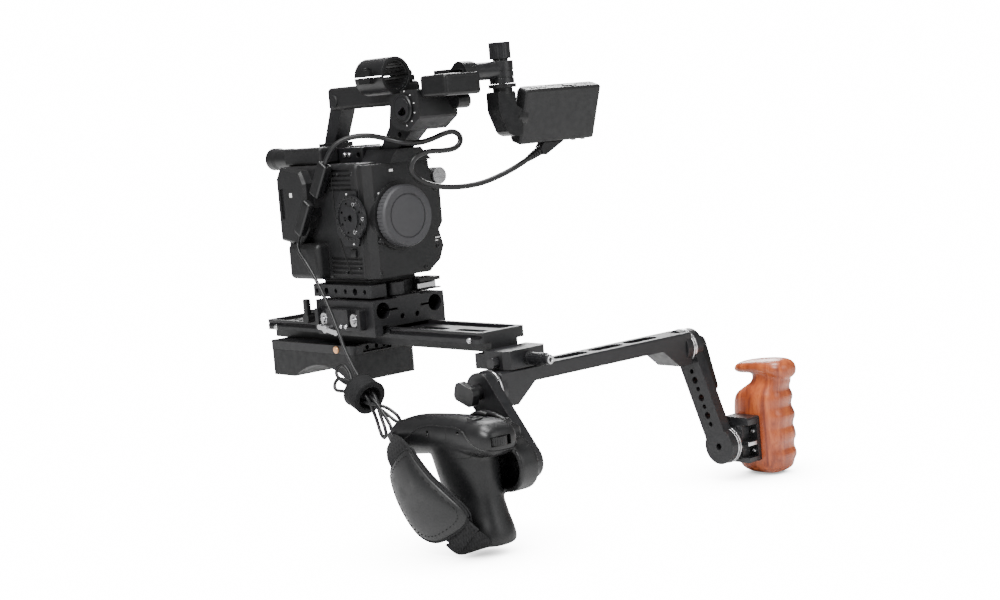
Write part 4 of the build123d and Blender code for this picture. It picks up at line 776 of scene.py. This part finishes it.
# ---------------------------------------------------------------- fittings on the CAD pieces
def camera_details():
    """Marks, screws, seams and the square button on the camera body."""
    boxes("tally_mark", [((-44.15, 72, 140), (0.5, 4, 4))], "carriage", "paint_mark", 0.1)
    dots = bmesh.new()
    for y, z in ((-3, 139), (-8, 94)):
        add_turned(dots, [(0, 0), (0.9, 0), (0.9, 2.4), (0, 2.4)], mm(-34, y, z), -X, 16)
    place("index_dots", to_mesh(dots, "index_dots"), "carriage", "paint_mark")
    bosses = bmesh.new()
    for y, z in ((-15, 130), (-2, 117), (-27, 117), (-14, 105)):
        add_turned(bosses, [(1.1, 0.4), (1.9, 0.4), (1.9, 2.6), (1.1, 2.6), (1.1, 0.4)], mm(-36.6, y, z),
                   -X, 20)
    place("rosette_bushes", to_mesh(bosses, "rosette_bushes"), "carriage", "bright_metal")
    button = boxes("square_button", [((-34.4, -5, 85.5), (3.2, 7, 7))], "camera_button", "black_plastic",
                   0.6)
    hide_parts("side_button")
    seam = [(-34.2, 20, 164), (-34.4, 20, 130), (-34.4, 16, 100), (-34.2, 8, 78), (-34.2, 2, 66)]
    tube("side_seam", [mm(*p) for p in seam], 0.35, "carriage", "dark_hole")
    screws("side_screws", [(-33.6, -10, 157), (-33.6, 12, 157), (-33.6, -9, 71), (-33.6, 10, 68)], -X, 1.5,
           "carriage", "dark_steel")
    heads = [(-27, -32.4, 66.5), (25, -32.4, 66.5), (41, -32.4, 84), (43, -32.4, 136)]
    screws("front_screws", heads, -Y, 1.6, "carriage", "dark_steel")
    marks = [((41, -32.3, 92), (5, 0.4, 1.1)), ((40, -32.3, 89.4), (3, 0.4, 1.1)),
             ((-6, -32.3, 157.4), (4, 0.4, 2.2))]
    boxes("front_marks", marks, "carriage", "paint_mark", 0)
    turned("mount_index", [(0, 0), (0.9, 0), (0.9, 0.4), (0, 0.4)], mm(-22, -32, 138), -Y, "carriage",
           "paint_mark", 20)


def handle_details():
    """Face, half-moon and scale dots of the audio selector."""
    x, y, z = -10.6, -64, 211  # middle of the selector's outer face
    turned("dial_face", [(0, 0), (9.6, 0), (9.6, 0.5), (0, 0.5)], mm(x - 2.2, y, z), -X, "audio_control",
           "dark_steel", 40)
    half = bmesh.new()
    turns = [math.radians(-150 + 12 * i) for i in range(11)]
    ring = [mm(x - 2.9, y + 6.2 * math.cos(a), z + 6.2 * math.sin(a)) for a in turns]
    moon = [half.verts.new(p) for p in ring] + [half.verts.new(mm(x - 2.9, -66.5, 212.5))]
    half.faces.new(moon)
    bmesh.ops.solidify(half, geom=half.faces[:], thickness=0.0003)
    place("dial_half", to_mesh(half, "dial_half"), "audio_control", "paint_mark")
    ticks = bmesh.new()
    for angle in range(100, 261, 32):
        a = math.radians(angle)
        spot = (x + 0.2, y + 15.2 * math.cos(a), z + 15.2 * math.sin(a))
        add_turned(ticks, [(0, 0), (0.55, 0), (0.55, 0.6), (0, 0.6)], mm(*spot), -X, 12)
    place("dial_ticks", to_mesh(ticks, "dial_ticks"), "carriage", "paint_mark")


def front_details():
    """Bright socket in the face of the front clamp's thumb knob."""
    low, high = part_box("front_knob")
    middle = [500 * (a + b) for a, b in zip(low, high)]
    face = (middle[0], low[1] * 1000 + 0.2, middle[2])
    end = [(2.0, 0), (3.6, 0), (3.6, 0.7), (2.0, 0.7), (1.7, 0.1), (0, 0.1)]
    turned("knob_socket", end, mm(*face), -Y, "clamp_knob", "bright_metal", 32)


def rosette_rings():
    """Bright rings round the rosette joints, and the screws and key of the wood grip's bracket."""
    bright = [(15.9, 0), (16.7, 0.2), (16.9, 0.6), (16.9, 1.9), (16.7, 2.3), (15.9, 2.5)]
    far, lower = (-174, -28), (-210, -119)
    turned("far_ring", bright, mm(203.2, *far), X, "bar", "bright_metal", 72)
    turned("far_sleeve", [(0, 0), (16.2, 0), (16.5, 0.4), (16.5, 7), (0, 7)], mm(196.1, *far), X, "bar",
           "black_anodised", 72)
    turned("far_arm_ring", [(r - 0.3, d) for r, d in bright], mm(206.2, *far), X, "left_arm",
           "bright_metal", 72)
    turned("near_ring", bright, mm(-31.6, *far), -X, "bar", "bright_metal", 72)
    turned("lower_arm_ring", [(r, d * 0.9) for r, d in bright], mm(214.1, *lower), X, "left_arm",
           "bright_metal", 72)
    turned("lower_ring", [(r, d * 0.9) for r, d in bright], mm(216.9, *lower), X, "left_grip",
           "bright_metal", 72)
    screws("wood_screws", [(234.8, -227, -108), (234.8, -227, -126), (234.8, -200, -100)], -X, 2.2,
           "left_grip")
    boxes("bracket_key", [((227, -232.3, -118), (11, 1.2, 3.4))], "left_grip", "bright_metal", 0.3)


HOLDER_MIDDLE = (-8, 241)  # x, z of the microphone holder's bore
HOLDER_ENDS = (-53, -16)  # y of the liner's two ends


def half_liner(name, start, end, body):
    """Ribbed rubber liner of one half of the microphone holder, between two angles in degrees."""
    bm = bmesh.new()
    x, z = HOLDER_MIDDLE
    front, back = HOLDER_ENDS
    outer, steps, ribs = 13.9, 44, 24
    rows = []
    for i in range(steps + 1):
        a = math.radians(start + (end - start) * i / steps)
        inner = 12.2 + 0.35 * math.cos(a * ribs)
        corners = [(outer, front), (inner, front), (inner, back), (outer, back)]
        rows.append([mm(x + r * math.cos(a), y, z + r * math.sin(a)) for r, y in corners])
    skin(bm, rows)
    place(name, to_mesh(bm, name), body, "black_plastic")


def holder_details():
    """Liners inside the two halves of the microphone holder."""
    half_liner("holder_liner_low", 187, 353, "carriage")
    half_liner("holder_liner_top", 7, 173, "holder_top")


def monitor_details():
    """Screen bezel made bright metal as a painted highlight along its glossy edge, seam, feet and keys of
    the monitor, drawn about its pivot.
    """
    corner = 3
    pivot, tilt = mm(0, -104, 196), math.radians(18)
    turn = Matrix.Translation(pivot) @ Matrix.Rotation(tilt, 4, "X")
    left, right, half = 88.4, 181.6, 25.1
    corners = [(left + corner, half), (right - corner, half), (right, half - corner),
               (right, -half + corner), (right - corner, -half), (left + corner, -half),
               (left, -half + corner), (left, half - corner)]
    # painted highlight: a rim at the screen's bezel, made bright metal to stand in for the light caught
    # along its glossy edge
    rim = [turn @ mm(x, 6.0, z) for x, z in corners]
    line_tube("monitor_bezel_highlight", rim, 0.55, "monitor", "bright_metal", closed=True)
    seam = [turn @ mm(x, 2.2, z * 1.014) for x, z in corners]
    line_tube("monitor_seam", seam, 0.22, "monitor", "dark_hole", closed=True)
    feet = [((x, -2, -25.9), (5, 5, 1.2)) for x in (158, 170)]
    keys = [((x, 0, 25.6), (4.2, 3.2, 0.9)) for x in (100, 107, 114)]
    for name, items in (("monitor_feet", feet), ("monitor_keys", keys)):
        bm = bmesh.new()
        for centre, size in items:
            add_box(bm, centre, size, bevel=0.35)
        bmesh.ops.transform(bm, matrix=turn, verts=bm.verts)
        place(name, to_mesh(bm, name), "monitor", "black_plastic")


# ---------------------------------------------------------------- cords
LCD_ROUTE = [
    (-.0405, .01874, .16726), (-.0405, .0133, .1756), (-.035, .007, .185), (-.025, -.003, .190),
    (-.015, -.018, .190), (-.011, -.035, .186), (-.003, -.049, .181), (.012, -.054, .1795),
    (.026, -.057, .1825), (.037, -.060, .1865), (.046, -.0625, .1875), (.052, -.064, .1825),
    (.050, -.065, .1755), (.0415, -.0655, .1715), (.028, -.065, .171), (.013, -.063, .172),
    (.0, -.060, .168), (-.004, -.057, .159), (.002, -.056, .149), (.017, -.058, .141),
    (.037, -.065, .137), (.059, -.077, .138), (.078, -.088, .145), (.08992, -.097, .151885),
    (.10095, -.097, .156479),
]
GRIP_ROUTE = [
    (-.0485, .05676, .10474), (-.0485, .0611, .098), (-.0525, .057, .089), (-.055, .042, .079),
    (-.057, .024, .061), (-.0585, .008, .039), (-.060, -.005, .018), (-.062, -.015, .001),
    (-.064, -.021, -.014),
]
TAIL_ROUTE = [(-.068, -.076, -.050), (-.072, -.085, -.058), (-.079, -.094, -.062), (-.079, -.106, -.062)]
HANK_LOOPS = [  # tip and half width of each loop of the folded cable
    ((-.070, -.073, -.0705), .0062), ((-.065, -.006, -.014), .0062), ((-.060, -.083, -.057), .0055),
    ((-.072, -.009, -.027), .006),
]


def hank_points():
    """Control points of the folded cable: through the tie, round a loop, and back, from loop to loop."""
    lift = TIE_AXIS.cross(X).normalized()
    points = []
    way = TIE_AXIS
    for number, (tip, half) in enumerate(HANK_LOOPS):
        turn = 1.1 + number * 1.35
        out = X * math.cos(turn) + lift * math.sin(turn)
        points.append(TIE_CENTRE - way * 0.010 + out * 0.0068)
        points.append(TIE_CENTRE + way * 0.010 + out * 0.0062)
        tip = Vector(tip)
        base = TIE_CENTRE + way * 0.012
        reach = tip - base
        across = reach.cross(Vector((0.9, 0.1, -0.4 if number % 2 else 0.5))).normalized()
        points.append(base + reach * 0.45 + across * half * 0.8)
        points.append(base + reach * 0.86 + across * half)
        points.append(tip + across * half * 0.45)
        points.append(tip - across * half * 0.45)
        points.append(base + reach * 0.84 - across * half)
        points.append(base + reach * 0.42 - across * half * 0.75)
        way = -way
    points.append(TIE_CENTRE - way * 0.010 + lift * 0.003)
    points.append(TIE_CENTRE + way * 0.012 + lift * 0.002)
    return points


def nurbs_cord(name, points, diameter, body, *nodes):
    """Cable along its control points, left as a curve, in place of its CAD nodes."""
    curve = nurbs_curve(name, points)
    curve.bevel_depth = diameter / 2
    curve.bevel_resolution = 5
    curve.use_fill_caps = True
    obj = bpy.data.objects.new(name, curve)
    SCENE.collection.objects.link(obj)
    curve.materials.append(MATERIALS["cable_rubber"])
    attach(obj, body)
    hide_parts(*nodes)
    return obj


def line_length(points):
    """Length of the smooth line through a cord's control points."""
    line = smooth_line(points)
    return sum((b - a).length for a, b in zip(line, line[1:]))


def add_cords():
    """Monitor cable, and the hand grip's cable with its folded loops and tail."""
    lcd = nurbs_cord("lcd_cord", LCD_ROUTE, 0.005, "carriage", "lcd_cable")
    line_length(LCD_ROUTE)
    route = [Vector(p) for p in GRIP_ROUTE[:-1]] + hank_points() + [Vector(p) for p in TAIL_ROUTE[1:]]
    grip = nurbs_cord("grip_cord", route, 0.0032, "carriage", "grip_cable", "cable_hank")
    line_length(route)


# ---------------------------------------------------------------- floor and lights
def seen_by_camera(tree, lit, seen, output):
    """Shows one shader to the camera, while another one lights and is lit."""
    path = tree.nodes.new("ShaderNodeLightPath")
    mix = tree.nodes.new("ShaderNodeMixShader")
    tree.links.new(path.outputs["Is Camera Ray"], mix.inputs[0])
    tree.links.new(lit.outputs[0], mix.inputs[1])
    tree.links.new(seen.outputs[0], mix.inputs[2])
    tree.links.new(mix.outputs[0], tree.nodes[output].inputs["Surface"])


def studio_floor():
    """White floor with a soft shadow where something stands close above it."""
    mat, tree, shader = base_material("studio_white")
    shader.inputs["Base Color"].default_value = (0.8, 0.8, 0.8, 1)
    shader.inputs["Roughness"].default_value = 0.9
    shader.inputs["Specular IOR Level"].default_value = 0.0
    near = tree.nodes.new("ShaderNodeAmbientOcclusion")
    near.samples = 24
    near.inputs["Distance"].default_value = 0.11
    glow = tree.nodes.new("ShaderNodeEmission")
    glow.inputs["Color"].default_value = (1, 1, 1, 1)
    tree.links.new(spread(tree, near.outputs["AO"], 0.5, BACKDROP, 0.12, 0.93), glow.inputs["Strength"])
    seen_by_camera(tree, shader, glow, "Material Output")
    return mat


def studio_world():
    """White backdrop that lights the object less than it shows."""
    world = bpy.data.worlds.new("studio_world")
    world.use_nodes = True
    tree = world.node_tree
    show = tree.nodes["Background"]
    show.inputs["Color"].default_value = (1, 1, 1, 1)
    show.inputs["Strength"].default_value = BACKDROP
    light = tree.nodes.new("ShaderNodeBackground")
    light.inputs["Color"].default_value = (1, 1, 1, 1)
    light.inputs["Strength"].default_value = 0.24
    seen_by_camera(tree, light, show, "World Output")
    SCENE.world = world


# place, size and power of each lamp, in metres and watts
LAMPS = {
    "key": ((-1.5, -0.7, 1.5), 0.7, 60),
    "fill": ((0.6, -2.0, 0.9), 1.2, 17),
    "rim": ((1.4, 1.2, 1.3), 0.9, 60),
    "top": ((-0.1, -0.1, 1.7), 0.6, 45),
}
LAMP_AIM = Vector((0.05, -0.05, 0.05))


def add_stage():
    """Floor just under the rig, backdrop and lamps."""
    low = cad_box[0].z - 0.0005
    bm = bmesh.new()
    bmesh.ops.create_grid(bm, x_segments=1, y_segments=1, size=8)
    bmesh.ops.translate(bm, vec=(0, 0, low), verts=bm.verts)
    floor = bpy.data.objects.new("studio_floor", to_mesh(bm, "studio_floor"))
    SCENE.collection.objects.link(floor)
    floor.data.materials.append(studio_floor())
    studio_world()
    for name, (at, size, power) in LAMPS.items():
        light = bpy.data.lights.new(name, "AREA")
        light.size = size
        light.energy = power
        obj = bpy.data.objects.new(name, light)
        obj.location = at
        obj.rotation_euler = (LAMP_AIM - Vector(at)).to_track_quat("-Z", "Y").to_euler()
        SCENE.collection.objects.link(obj)


# ---------------------------------------------------------------- build
add_camera()
MATERIALS = make_materials()
dress_cad()
cable_tie()
add_cords()
hand_grip()
strap_pad()
strap_webbing()
wood_grip()
camera_details()
handle_details()
front_details()
rosette_rings()
holder_details()
monitor_details()
add_stage()
